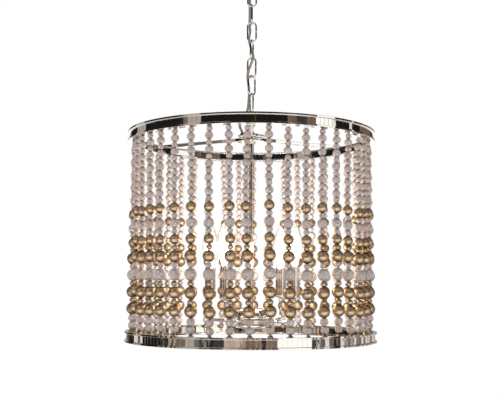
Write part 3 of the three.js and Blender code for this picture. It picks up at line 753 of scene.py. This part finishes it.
def mirror_tiles(radius, bottom, top, outwards, count=168):
    """Flat mirror tiles round a ring: a low block at each angle, its face tilted a little.

    A corner lies at centre + out * normal + w * tangent + h * up, and the face's corners are
    drawn in from the block's by the bevel. outwards is 1 on the ring's outside and -1 inside.
    """
    bevel = 0.28
    seam = 0.22
    depth = 0.3
    proud = 0.45
    angle = (np.arange(count) + 0.5) * FULL_TURN / count
    normal = outwards * polar(1, angle, 0)
    tangent = np.cross((0, 0, 1), normal)
    half_width = math.pi * radius / count - seam / 2
    half_height = (top - bottom) / 2
    centre = polar(radius, angle, (top + bottom) / 2)[:, None]
    around = np.array([(-1, -1), (1, -1), (1, 1), (-1, 1)])

    def corners(out, drawn_in):
        return (centre + out * normal[:, None]
                + around[None, :, :1] * (half_width - drawn_in) * tangent[:, None]
                + around[None, :, 1:] * (half_height - drawn_in) * np.array([0, 0, 1]))

    tilts = chance.normal(0, [0.35 * DEGREE, 0.3 * DEGREE], (count, 2))
    lean = (around[None, :, 0] * (half_width - bevel) * tilts[:, None, 0]
            + around[None, :, 1] * (half_height - bevel) * tilts[:, None, 1])
    points = np.concatenate([corners(-depth, 0), corners((proud + lean)[:, :, None], bevel)], axis=1)
    faces = (8 * np.arange(count)[:, None, None] + BLOCK_FACES[None]).reshape(-1, 4)
    return points.reshape(-1, 3), [faces]


def add_ring(name):
    """A channel ring with a flange at its foot, lined with mirror tiles outside and inside."""
    wide, foot, top = extents(name)
    web_outer = wide - RIM_PROJECTION
    web_inner = web_outer - WEB_THICKNESS
    flange_inner = web_inner - FLANGE_WIDTH
    low = foot + RIM_THICKNESS
    high = top - RIM_THICKNESS
    profile = [(flange_inner, foot), (wide, foot), (wide, low), (web_outer, low),
               (web_outer, high), (wide, high), (wide, top), (web_inner, top), (web_inner, low),
               (flange_inner, low)]
    reach = np.array([0.9, 0.45, 0.45, 0.35, 0.35, 0.45, 0.45, 0.4, 0.4, 0.9])[:, None]
    channel = lathe(profile, reach, RING_SIDES, hollow=True)
    # A half-round lip is rolled on the inside above the tiles
    bulge = np.linspace(-math.pi / 2, math.pi / 2, 9)
    line = points_of(web_inner - 1.5 * np.cos(bulge), high + 1.8 - 1.7 * np.sin(bulge))
    line = np.concatenate([[[web_inner + 0.4, line[0, 1]]], line, [[web_inner + 0.4, line[-1, 1]]]])
    lip = turned(line, RING_SIDES, rows_meet=True)
    add_nickel(f"{name}_channel", name, channel, lip)
    tiles = [(mirror_tiles(radius, low + 0.15, high - 0.15, outwards), NICKEL)
             for radius, outwards in ((web_outer, 1), (web_inner, -1))]
    add_piece(f"{name}_mirror_tiles", tiles, smooth=False)
    return web_outer, low, high


def add_ring_joint(web_outer, low, high):
    """The narrow brazed strip over the tiles, where the ends of the top ring meet."""
    strip = [[x, -web_outer - out, level] for half_width, out in ((1.3, 0), (1.0, 0.62))
             for x, level in ((-half_width, low), (half_width, low), (half_width, high),
                              (-half_width, high))]
    strip = placed((np.array(strip), [BLOCK_FACES]), RING_JOINT_DEGREES * DEGREE)
    add_piece("top_ring_brazed_joint", [(strip, LAMP_BRASS)], smooth=False)


# The beads of a strand from the top: kind of finish, then nominal diameter in millimetres
SMALL, MEDIUM, LARGE, HUGE = 10.8, 14.4, 17.8, 21.4
BEADS = (
    [("white", SMALL), ("white", MEDIUM)] * 5 + [("white", SMALL)]
    + [("gold", LARGE), ("white", SMALL), ("white", LARGE), ("white", SMALL), ("gold", LARGE),
       ("gold", SMALL), ("gold", HUGE), ("white", SMALL), ("white", HUGE), ("gold", SMALL),
       ("gold", HUGE), ("gold", SMALL), ("gold", HUGE), ("white", MEDIUM), ("white", MEDIUM),
       ("gold", SMALL)])


def bead_pattern(columns, latitudes_degrees):
    """A ball cut flat at its holes: (w cos b sin a, -w cos b cos a, sin b) / sin c.

    c is the last latitude, so that the flats are at -1 and 1 and the ball is wider than they
    are apart. w makes up for what the corners cut off the round.
    """
    latitude = np.array(latitudes_degrees)[:, None] * DEGREE
    ball = 1 / math.sin(latitude[-1, 0])
    wide = ball * np.cos(latitude) / math.sqrt(math.cos(math.pi / columns))
    return grid(polar(wide, all_round(columns), ball * np.sin(latitude)))


LARGE_PATTERN = bead_pattern(14, (-69.2, -50, -30, -10, 10, 30, 50, 69.2))
SMALL_PATTERN = bead_pattern(10, (-69.2, -42, -14, 14, 42, 69.2))


def beads(pattern, centres, radii):
    """Many beads at once: each is radius * the pattern turned about Z, moved to its centre.

    Returns the shape, each point's place in the bead's own wood, and how near it is to a hole.
    The wood's place is the pattern turned every way by a chance axis and moved far off, so that
    no two beads have the same grain.
    """
    points, blocks = pattern
    count = len(centres)
    spin = chance.uniform(0, FULL_TURN, count)[:, None]
    x = points[None, :, 0] * np.cos(spin) - points[None, :, 1] * np.sin(spin)
    y = points[None, :, 0] * np.sin(spin) + points[None, :, 1] * np.cos(spin)
    local = radii[:, None, None] * points_of(x, y, points[None, :, 2])
    axes = np.linalg.qr(chance.normal(size=(count, 3, 3)))[0]
    grain = local @ axes + chance.uniform(-400, 400, (count, 1, 3))
    numbers = len(points) * np.arange(count)[:, None, None]
    faces = [(numbers + block[None]).reshape(-1, block.shape[1]) for block in blocks]
    ends = np.tile(np.abs(points[:, 2]), count)
    return ((local + centres[:, None]).reshape(-1, 3), faces), grain.reshape(-1, 3), ends


# The strands nearest the front, counted from the middle one towards +X: how far the four knots
# of each are off to the right, then how far they are below their place, in millimetres
FRONT_STRANDS = {
    -8: (0, 0, 0, 0, 0, -3.5, -4, -1),
    -7: (-4.5, 0.6, 2.5, -0.5, 0.2, -0.4, -0.6, 2),
    -6: (-3.9, -0.1, 2.1, 4.5, 0, -1.2, -1.6, 2.5),
    -5: (-4.6, -4.7, -0.7, 2.9, 0, -1.6, 0, 1.2),
    -4: (-3.1, -2.3, 0.2, 0.4, 0, -0.8, -0.2, 1.9),
    -3: (-2, -0.2, 0, 1.4, 0, -1, -0.4, 2.6),
    -2: (-0.9, -0.9, 0.8, 3.1, 0, 0, -0.1, 3.9),
    -1: (-0.4, 1.8, 4.6, 3.8, 0, -0.3, 0.2, 2),
    0: (-1.7, -4.9, -0.7, 3.3, 1, 0.7, 0, 2.2),
    1: (0.7, 1.6, 3, 4.4, 0, -2.4, -2.6, 1.8),
    2: (1, -0.2, 2.5, 4.9, 2.2, 2.1, 0.9, 1.9),
    3: (0.7, -0.6, 1.4, 3.8, 2.3, 2.6, 1.8, 3.3),
    4: (1, -1.8, 0.3, 3.3, 0.3, -0.5, -0.4, 2.4),
    5: (-0.4, -2.3, 0.6, 3.5, 0, -2, -2.8, 1.4),
    6: (-0.5, -5, -5, 4, 0.9, 0.5, -1.4, 3.8),
    7: (2.9, 4.3, 3.4, 4.5, 4, 3.4, 0.8, 4),
    9: (0, 0, 0, 0, 0, -2.5, -3.5, -0.5),
}


def strand_layout():
    """Where every strand's beads hang: arrays of centres, by strand and bead, and of diameters.

    Each strand has four knots down its length, at which it is off its place to one side and
    below its place. The knots of the front strands are measured, the others are by chance, and
    between the knots the shift and the drop go in straight lines.
    """
    first_top = heights("top_ring")[0] - 0.1
    diameters = np.array([size for _, size in BEADS])
    down = np.cumsum(diameters + BEAD_GAP) - diameters / 2 - BEAD_GAP
    angle = STRAND_PHASE_DEGREES * DEGREE + FULL_TURN / STRAND_COUNT * np.arange(STRAND_COUNT)
    aside = chance.normal(0, (1.2, 2.0, 2.0, 1.6), (STRAND_COUNT, 4))
    below = chance.uniform((0, -0.8, -0.6, 1.4), (1.6, 1.2, 1.0, 3.0), (STRAND_COUNT, 4))
    for strand, knots in FRONT_STRANDS.items():
        aside[strand] = knots[:4]
        below[strand] = knots[4:]
    knot = down[:, None] / down[-1] * 3
    weights = np.clip(1 - np.abs(knot - np.arange(4)[None, :]), 0, 1)
    shift = aside @ weights.T + chance.normal(0, 0.2, (STRAND_COUNT, len(BEADS)))
    radius = STRAND_CIRCLE_RADIUS + chance.normal(0, 0.4, (STRAND_COUNT, len(BEADS)))
    centres = polar(radius, angle[:, None] + shift / STRAND_CIRCLE_RADIUS,
                    first_top - below @ weights.T - down[None, :])
    return angle, centres, diameters


def strand_wire(angle, centres, first_top, last_bottom):
    """A strand's stringing wire: a V from two holes in the flange, then down through the beads.

    Three swept wires: the left and right side of the V, and the straight run through the middle
    of every bead to the bottom ring's flange, which a crimp holds above it.
    """
    flange = heights("bottom_ring")[0] + RIM_THICKNESS
    tangent = np.array([math.cos(angle), math.sin(angle), 0])
    at_ring = polar(STRAND_CIRCLE_RADIUS, angle, 0)
    head = np.array([centres[0, 0], centres[0, 1], first_top - 1.2])
    shapes = []
    for place in (-1, 1):
        hole = at_ring + place * STRING_TIE_SPREAD * tangent + [0, 0, heights("top_ring")[0]]
        path = np.array([head, head + (hole - head) * 0.5, hole - [0, 0, 0.4], hole + [0, 0, 1.5]])
        shapes.append(swept(path, circle(STRING_TIE_RADIUS, 6), at_ring))
    foot = at_ring + [0, 0, flange + 0.3]
    run = np.concatenate([[head], centres[::3], centres[-1:], [foot]])
    shapes.append(swept(run, circle(STRING_RADIUS, 6), (1, 0, 0)))
    crimp = rod(circle(CRIMP_RADIUS, 10), (foot[0], foot[1], last_bottom - 1.5), (0, 0, 1),
                [-4.2, -3.9, -2.1, -0.3, 0], [0.7, 1, 0.85, 1, 0.7])
    return joined(*shapes), crimp


def add_bead_curtains():
    """Fourteen groups of three strands: whitewashed beads, gold beads, and wires with crimps."""
    angle, centres, diameters = strand_layout()
    is_gold = np.array([finish == "gold" for finish, _ in BEADS])
    is_small = diameters < LARGE - 1
    sizes = diameters * chance.uniform(0.985, 1.008, (STRAND_COUNT, len(BEADS)))
    for group in range(STRAND_COUNT // STRANDS_PER_CURTAIN):
        rows = slice(group * STRANDS_PER_CURTAIN, (group + 1) * STRANDS_PER_CURTAIN)
        node = f"bead_curtain_{group + 1}"
        for title, finish, material in (("whitewashed", ~is_gold, WASHED_WOOD),
                                        ("gold", is_gold, GOLD_PAINT)):
            parts = []
            attributes = {"grain": [], "tone": [], "end": []}
            for kind, pattern in ((is_small, SMALL_PATTERN), (~is_small, LARGE_PATTERN)):
                chosen = finish & kind
                shape, grain, end = beads(pattern, centres[rows][:, chosen].reshape(-1, 3),
                                          sizes[rows][:, chosen].ravel() / 2)
                parts.append((shape, material))
                bead_points = len(pattern[0])
                tone = np.repeat(chance.uniform(0, 1, len(grain) // bead_points), bead_points)
                for key, values in (("grain", grain), ("tone", tone), ("end", end)):
                    attributes[key].append(values)
            attributes = {key: np.concatenate(values) for key, values in attributes.items()}
            add_piece(f"{title}_beads_{group + 1}", parts, node, attributes=attributes)
        wires = []
        for strand in range(rows.start, rows.stop):
            first_top = centres[strand, 0, 2] + diameters[0] / 2
            last_bottom = centres[strand, -1, 2] - diameters[-1] / 2
            wire, crimp = strand_wire(angle[strand], centres[strand], first_top, last_bottom)
            wires += [(wire, STRINGING_WIRE), (crimp, CRIMP_METAL)]
        add_piece(f"stringing_wires_{group + 1}", wires, node)


def add_cluster():
    """The light cluster's flat-topped cover, its steep cup and finial."""
    wide, bottom, top = extents("cluster_cover")
    line = outline("cluster_cover", [(1, 0.14), (1, 0.32), (0.95, 0.64), (0.8, 0.87), (0.45, 0.97)])
    outside = np.concatenate([[[wide, bottom]], spline([*line, (STEM_HOLE_RADIUS, top)], 5)])
    inside = offset(outside, CLUSTER_WALL)[::-1]
    inside[0] = (STEM_HOLE_RADIUS, top - CLUSTER_WALL)
    inside[-1] = (wide - CLUSTER_WALL, bottom)
    add_nickel("cluster_domed_cover", "cluster_cover",
               turned(np.concatenate([outside, inside]), rows_meet=True))

    wide, bottom, top = extents("cluster_cup")
    bowl = spline(outline("cluster_cup", [(0.55, 0), (0.84, 0.01), (0.955, 0.07), (0.99, 0.18),
                                          (1, 0.34), (1, 1)]), 5)
    inside = offset(bowl, CLUSTER_WALL)[::-1]
    inside[0] = (wide - CLUSTER_WALL, top)
    add_nickel("cluster_round_cup", "cluster_cup", turned(np.concatenate([
        [[0, bottom]], bowl, inside, [[0, bottom + CLUSTER_WALL]]])))

    knob = spline(outline("cluster_finial", [(0, 0), (0.55, 0.06), (1, 0.4), (0.86, 0.7),
                                             (0.55, 0.84), (0.6, 1), (0, 1)]), 5)
    add_nickel("cluster_knob", "cluster_finial", turned(knob, 40))


def arm_path():
    """An arm's middle line in its own plane, from the cover's side to under the candle cup.

    A cubic curve dips, a straight run goes out, a quarter bend turns up and a short run rises.
    """
    wide, bottom, _ = extents("cluster_cover")
    start = wide + SEAT_GAP
    level = bottom + ARM_CENTRE_ABOVE_JOINT
    low = level - ARM_DIP
    end = heights("candle_cup_1")[0] - SEAT_GAP
    t = np.linspace(0, 1, 9)[:, None]
    dip = ((1 - t) ** 3 * [[start, level]]
           + 3 * t * (1 - t) ** 2 * [[start + ARM_DIP_RUN / 2, level]]
           + 3 * t ** 2 * (1 - t) * [[start + ARM_DIP_RUN / 2, low]]
           + t ** 3 * [[start + ARM_DIP_RUN, low]])
    run_end = LIGHT_CIRCLE_RADIUS - ARM_ELBOW_RADIUS
    run = np.linspace([start + ARM_DIP_RUN, low], [run_end, low], 8)[1:-1]
    bend_end = [LIGHT_CIRCLE_RADIUS, low + ARM_ELBOW_RADIUS]
    elbow = ((1 - t) ** 2 * [[run_end, low]] + 2 * t * (1 - t) * [[LIGHT_CIRCLE_RADIUS, low]]
             + t ** 2 * [bend_end])
    rise = np.linspace(bend_end, [LIGHT_CIRCLE_RADIUS, end], 6)[1:]
    line = np.concatenate([dip, run, elbow, rise])
    return polar(line[:, 0], 0, line[:, 1])


def bulb_parts(sleeve_top, socket_top):
    """A torpedo bulb: shell of glass, screw shell, insulator, glass mount, leads and filament."""
    glass = spline([(5.2, -3.1), (7.6, -1.6), (8.2, 1), (11.2, 14.4), (15.5, 27), (17, 38.5),
                    (15.4, 56), (10.8, 73.8), (5.6, 84.6), (2.6, 88.6), (0.1, 90)], 6, sleeve_top)
    outside = np.concatenate([[[0, sleeve_top - 3.1]], glass])
    inside = offset(glass, 0.8)
    inside = np.concatenate([[[0, sleeve_top - 2.2]], inside[inside[:, 1] > sleeve_top - 2.2]])
    shell = joined(turned(outside, 48), flipped(turned(inside, 48)))

    # The screw shell's thread has the radius 5.58 + 0.3 cos(height in turns less the angle)
    foot = socket_top - 15
    level = np.linspace(foot + 3, socket_top + 0.2, 60)[:, None]
    angle = all_round(40)[None, :]
    thread = grid(polar(5.58 + 0.3 * np.cos(FULL_TURN * level / 2.4 - angle), angle, level))
    insulator = lathe([(0, 0.8), (2.6, 0.8), (5.2, 3.1), (0, 3.1)], 0.4, 32, level=foot)
    contact = lathe([(0, 0), (1.7, 0), (2, 0.9), (0, 0.9)], 0.4, 24, level=foot)

    mount = turned(spline([(0, -2), (4.2, -1.5), (2.2, 5), (1.6, 12), (1.2, 15), (0, 16)], 4,
                          sleeve_top), 20)
    leads = [swept(spline([(1.2 * place, 0, 12), (3.6 * place, 0, 19),
                           (5 * place, 0, FILAMENT_ABOVE_SLEEVE)], 5, sleeve_top),
                   circle(0.28, 8), (0, 1, 0)) for place in (-1, 1)]
    # The filament is a fine coil hung in an arch between the leads
    t = np.linspace(0, 1, 241)
    coil = FULL_TURN * 26 * t
    arch = sleeve_top + FILAMENT_ABOVE_SLEEVE + 6 * np.sin(math.pi * t)
    filament = points_of(-5 + 10 * t, 0.55 * np.cos(coil), arch + 0.55 * np.sin(coil))
    glow = swept(filament, circle(0.2, 6), (0, 0.3, 1))
    return shell, thread, insulator, contact, mount, leads, glow


def add_light(name, kind, energy, place, is_mirrored):
    """A lamp at a place in metres, which polished metal and gold show or don't show."""
    light = add_object(name, bpy.data.lights.new(name, kind))
    light.data.energy = energy
    light.location = place
    light.visible_glossy = is_mirrored
    return light


def add_lights():
    """Four arms with candle cups, sleeves, sockets and bulbs, and a small warm lamp in each."""
    path = arm_path()
    arm = swept(path, circle(ARM_RADIUS), (1, 0, 0))
    nut = rod(circle(ARM_NUT_RADIUS, 24), path[0], (0, -1, 0), [0, 0.3, 0.9, 2.6, 3.1, 3.3],
              [0.9, 0.97, 1, 1, 0.95, 0.86])
    cup_wide, cup_foot, cup_top = extents("candle_cup_1")
    collar = lathe([(3.3, -4.2), (4.6, -4.2), (5.2, -2.2), (4.6, -0.4), (3.3, -0.4)], 0.7, 32,
                   hollow=True, level=cup_foot)

    sleeve_wide, sleeve_bottom, sleeve_top = extents("candle_sleeve_1")
    seat = sleeve_wide + SEAT_GAP
    floor = sleeve_bottom - SEAT_GAP
    cup = lathe([(0, cup_foot), (5.5, cup_foot), (6.6, cup_foot + 0.9),
                 (cup_wide - 1.6, floor - 0.9), (cup_wide, floor + 0.2), (cup_wide, cup_top),
                 (seat, cup_top), (seat, floor), (0, floor)], 0.6, 48)
    sleeve = pipe(sleeve_wide - SLEEVE_WALL, sleeve_wide, sleeve_bottom, sleeve_top, 0.4, 56)
    socket_wide, _, socket_top = extents("socket_1")
    bore_foot = socket_top - SOCKET_BORE_DEPTH
    socket = lathe([(0, sleeve_bottom), (socket_wide, sleeve_bottom), (socket_wide, socket_top),
                    (SOCKET_BORE_RADIUS, socket_top), (SOCKET_BORE_RADIUS, bore_foot),
                    (0, bore_foot)], 0.5, 48)
    shell, thread, insulator, contact, mount, leads, glow = bulb_parts(sleeve_top, socket_top)
    # Each piece's name, its shapes with their materials, and the CAD nodes that it stands for
    drum_pieces = (("candle_dish", [(cup, NICKEL)], "candle_cup"),
                   ("candle_tube", [(sleeve, NICKEL)], "candle_sleeve"),
                   ("lamp_socket", [(socket, PHENOLIC)], "socket"))
    lamp_pieces = (("bulb_glass", [(shell, LAMP_GLASS)]),
                   ("bulb_mount", [(mount, LAMP_GLASS)]),
                   ("bulb_base", [(thread, LAMP_BRASS), (insulator, PHENOLIC),
                                  (contact, CRIMP_METAL)]),
                   ("bulb_filament", [(glow, FILAMENT), *[(lead, STRINGING_WIRE) for lead in leads]]))

    for number, degrees in enumerate(LIGHT_ANGLES_DEGREES, start=1):
        turn = degrees * DEGREE
        at = polar(LIGHT_CIRCLE_RADIUS, turn, 0)

        def here(parts):
            return [(placed(shape, turn, at), material) for shape, material in parts]

        add_piece(f"bent_arm_{number}", [(placed(arm, turn), NICKEL), (placed(nut, turn), NICKEL),
                  *here([(collar, NICKEL)])], f"arm_{number}")
        for title, parts, node in drum_pieces:
            add_piece(f"{title}_{number}", here(parts), f"{node}_{number}")
        lamp = f"lamp_{number}"
        for title, parts in lamp_pieces:
            piece = add_piece(f"{title}_{number}", here(parts), f"bulb_{number}", body=lamp)
            piece.visible_shadow = title == "bulb_base"
        # The bulb lights the beads, and a wider, softer glow is what their gold reflects
        for title, energy, size, is_mirrored in (("light", 0.6, 7, False), ("glow", 0.6, 34, True)):
            light = add_light(f"bulb_{title}_{number}", "POINT", energy,
                              (at + [0, 0, sleeve_top + FILAMENT_ABOVE_SLEEVE]) * MM, is_mirrored)
            light.data.color = colour("#FFF5E9")[:3]
            light.data.shadow_soft_size = size * MM
            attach(light, lamp)


add_cord()
add_ceiling_fittings()
add_chain()
add_hub()
add_ring_joint(*add_ring("top_ring"))
add_ring("bottom_ring")
add_bead_curtains()
add_cluster()
add_lights()


# Studio: floor, surroundings, lamps and camera

FLOOR_DEPTH = 2.4
FLOOR_RADIUS = 10.2
# How much the floor glows of itself, and how much more where it is seen or lights matt surfaces
FLOOR_LIFT = 0.2
FLOOR_SEEN_LIFT = 0.26
FLOOR_BOUNCED_LIFT = 0.3
# The studio's lit walls are brighter than paper white, and polished metal shows it
MIRRORED_LEVEL = 1.35
FLOOR_MIRRORED_LEVEL = 2.15
SHADES = {"white": "#FFFFFF", "pale": "#DAD6D2", "grey": "#A39D9A", "beige": "#BFAE9C",
          "brown": "#6A5D52", "dark": "#3B3735", "black": "#19181A"}
# The room as polished metal shows it: azimuths from -Y towards +X where each shade starts
ROOM = [(-180, "grey"), (-152, "black"), (-132, "grey"), (-114, "black"), (-67, "brown"),
        (-62, "grey"), (-47, "black"), (31, "brown"), (38, "dark"), (50, "brown"),
        (58, "black"), (60, "white"), (79, "black"), (102, "pale"), (105, "black"), (120, "brown"),
        (145, "dark"), (158, "grey")]
# Stands and shelves at eye level, and the shade of the narrow things between them
STANDS = [(-180, "grey"), (-153, "black"), (-132, "dark"), (-116, "black"), (-69, "brown"),
          (-63, "grey"), (-48, "black"), (-34, "dark"), (-24, "beige"), (-10, "brown"),
          (9, "black"), (12, "brown"), (22.7, "white"), (54.7, "dark"), (67, "pale"),
          (73, "brown"), (77, "black"), (85, "white"), (88, "brown"), (158, "dark")]
BETWEEN = [(-180, "dark"), (-153, "black"), (-132, "pale"), (-116, "black"), (-91, "beige"),
           (-69, "grey"), (-34, "dark"), (-24, "grey"), (-10, "beige"), (9, "black"),
           (12, "grey"), (22.7, "white"), (54.7, "pale"), (73, "brown"), (77, "dark"),
           (85, "white"), (88, "pale"), (158, "grey")]
LAMP_WALL = [(-180, "dark"), (-78, "white"), (-22, "dark"), (26, "pale"), (56, "dark"),
             (118, "brown"), (150, "dark")]


def shown_directly(tree, rays):
    """One for what the camera sees straight or through glass, and nought for all else."""
    return maths(tree, "MAXIMUM", rays["Is Camera Ray"], rays["Is Transmission Ray"])


def add_floor():
    """A white disc far below, on which the fixture's shadow falls.

    Polished metal shows it darker straight below, where the fixture keeps the lamps off it.
    """
    mesh = bpy.data.meshes.new("floor")
    rim = [(x, y, -FLOOR_DEPTH) for x, y in circle(FLOOR_RADIUS, 96).tolist()]
    mesh.from_pydata(rim, [], [list(range(len(rim)))])
    material = bpy.data.materials.new("white_floor")
    tree = empty_tree(material)
    rays = add_node(tree, "LightPath").node.outputs
    bounced = maths(tree, "MULTIPLY_ADD", rays["Is Diffuse Ray"], FLOOR_BOUNCED_LIFT, FLOOR_LIFT)
    lift = maths(tree, "MULTIPLY_ADD", shown_directly(tree, rays), FLOOR_SEEN_LIFT, bounced)
    lit = add_node(tree, "AddShader", {0: add_node(tree, "BsdfDiffuse", {"Color": "#F0F0F0"}),
                                       1: add_node(tree, "Emission", {"Strength": lift})})
    place = add_node(tree, "TexCoord").node.outputs["Object"]
    flat = maths(tree, "MULTIPLY", place, (1.0, 1.0, 0.0), kind="VectorMath")
    distance = maths(tree, "LENGTH", flat, kind="VectorMath")
    level = remapped(tree, distance, 0.6, 3.0, 0.3, FLOOR_MIRRORED_LEVEL,
                     interpolation_type="SMOOTHSTEP")
    # The floor is lit in front and far behind, and much darker to the sides
    towards = maths(tree, "NORMALIZE", flat, kind="VectorMath")
    backward = add_node(tree, "SeparateXYZ", {"Vector": towards}).node.outputs["Y"]
    lit_share = ramp(tree, maths(tree, "MULTIPLY_ADD", backward, 0.5, 0.5), [
        (0.0, 1.0), (0.12, 0.9), (0.36, 0.2), (0.75, 0.2), (0.96, 0.65)])
    mirrored = add_node(tree, "Emission", {"Color": lit_share, "Strength": level})
    either = add_node(tree, "MixShader", {"Fac": rays["Is Glossy Ray"], 1: lit, 2: mirrored})
    add_node(tree, "OutputMaterial", {"Surface": either})
    mesh.materials.append(material)
    add_object("floor", mesh)


def make_world():
    """White to the camera, a plain light for matt surfaces, and a dim room for polished ones.

    The room is drawn by direction, in bands of elevation: the floor, the stands at eye level,
    the walls, the dark ceiling with a lamp wall in it, and the roof. The azimuth is the angle
    from -Y towards +X.
    """
    world = bpy.data.worlds.new("studio")
    bpy.context.scene.world = world
    tree = empty_tree(world)
    direction = add_node(tree, "SeparateXYZ", {
        "Vector": add_node(tree, "TexCoord").node.outputs["Generated"]}).node.outputs
    backwards = maths(tree, "MULTIPLY", direction["Y"], -1.0)
    azimuth = maths(tree, "ARCTAN2", direction["X"], backwards)
    turn = maths(tree, "MULTIPLY_ADD", azimuth, 1 / FULL_TURN, 0.5)
    degrees = maths(tree, "MULTIPLY", maths(tree, "ARCSINE", direction["Z"]), 1 / DEGREE)

    def band(zones):
        return ramp(tree, turn, [((start + 180) / 360, SHADES[shade]) for start, shade in zones],
                    "CONSTANT")

    # The narrow things at eye level are two or three degrees wide
    stripes = add_node(tree, "TexNoise", {
        "W": turn, "Scale": 120.0, "Detail": 2.0, "Roughness": 0.7}, noise_dimensions="1D")
    stands = mixed(tree, remapped(tree, stripes, 0.52, 0.55), band(STANDS), band(BETWEEN))
    shade = SHADES["white"]
    for start, upper in ((-8, stands), (3, band(ROOM)), (12.4, SHADES["black"]),
                         (27, band(LAMP_WALL)), (50, SHADES["dark"]), (66, SHADES["grey"])):
        risen = remapped(tree, degrees, start - 0.5, start + 0.5)
        shade = mixed(tree, risen, shade, upper)
    mirrored = add_node(tree, "VectorMath", {0: shade, "Scale": MIRRORED_LEVEL}, operation="SCALE")

    rays = add_node(tree, "LightPath").node.outputs
    # Matt surfaces get a little less from above than from the pale floor's side
    level = remapped(tree, degrees, -5.0, 75.0, 1.0, 0.45)
    lit = mixed(tree, rays["Is Glossy Ray"], level, mirrored)
    shown = mixed(tree, shown_directly(tree, rays), lit, "#FFFFFF")
    add_node(tree, "OutputWorld", {
        "Surface": add_node(tree, "Background", {"Color": shown, "Strength": 1.0})})


def add_softbox(name, place, size, energy):
    """A square area lamp that looks at the drum's middle and stays out of reflections."""
    box = add_light(name, "AREA", energy, place, False)
    box.data.size = size
    x, y, z = np.array([0, 0, -0.58]) - np.array(place)
    box.rotation_euler = (math.atan2(math.hypot(x, y), -z), 0, math.atan2(-x, y))


def add_camera():
    """The photograph's camera: a little below the drum's middle, looking slightly up."""
    camera = add_object("camera", bpy.data.cameras.new("camera"))
    camera.data.sensor_fit = "HORIZONTAL"
    camera.data.sensor_width = 36
    camera.data.lens = 62.84
    camera.location = (-2.42 * MM, -1791.9 * MM, -673.6 * MM)
    # A turn about its own view axis first, then the tilt
    camera.rotation_mode = "ZYX"
    camera.rotation_euler = ((90 + 5.42) * DEGREE, 0, 0.25 * DEGREE)
    bpy.context.scene.camera = camera


add_floor()
make_world()
add_softbox("key_softbox", (-1.4, -2.6, -0.5), 1.6, 8.0)
add_camera()

scene = bpy.context.scene
scene.view_settings.view_transform = "Standard"
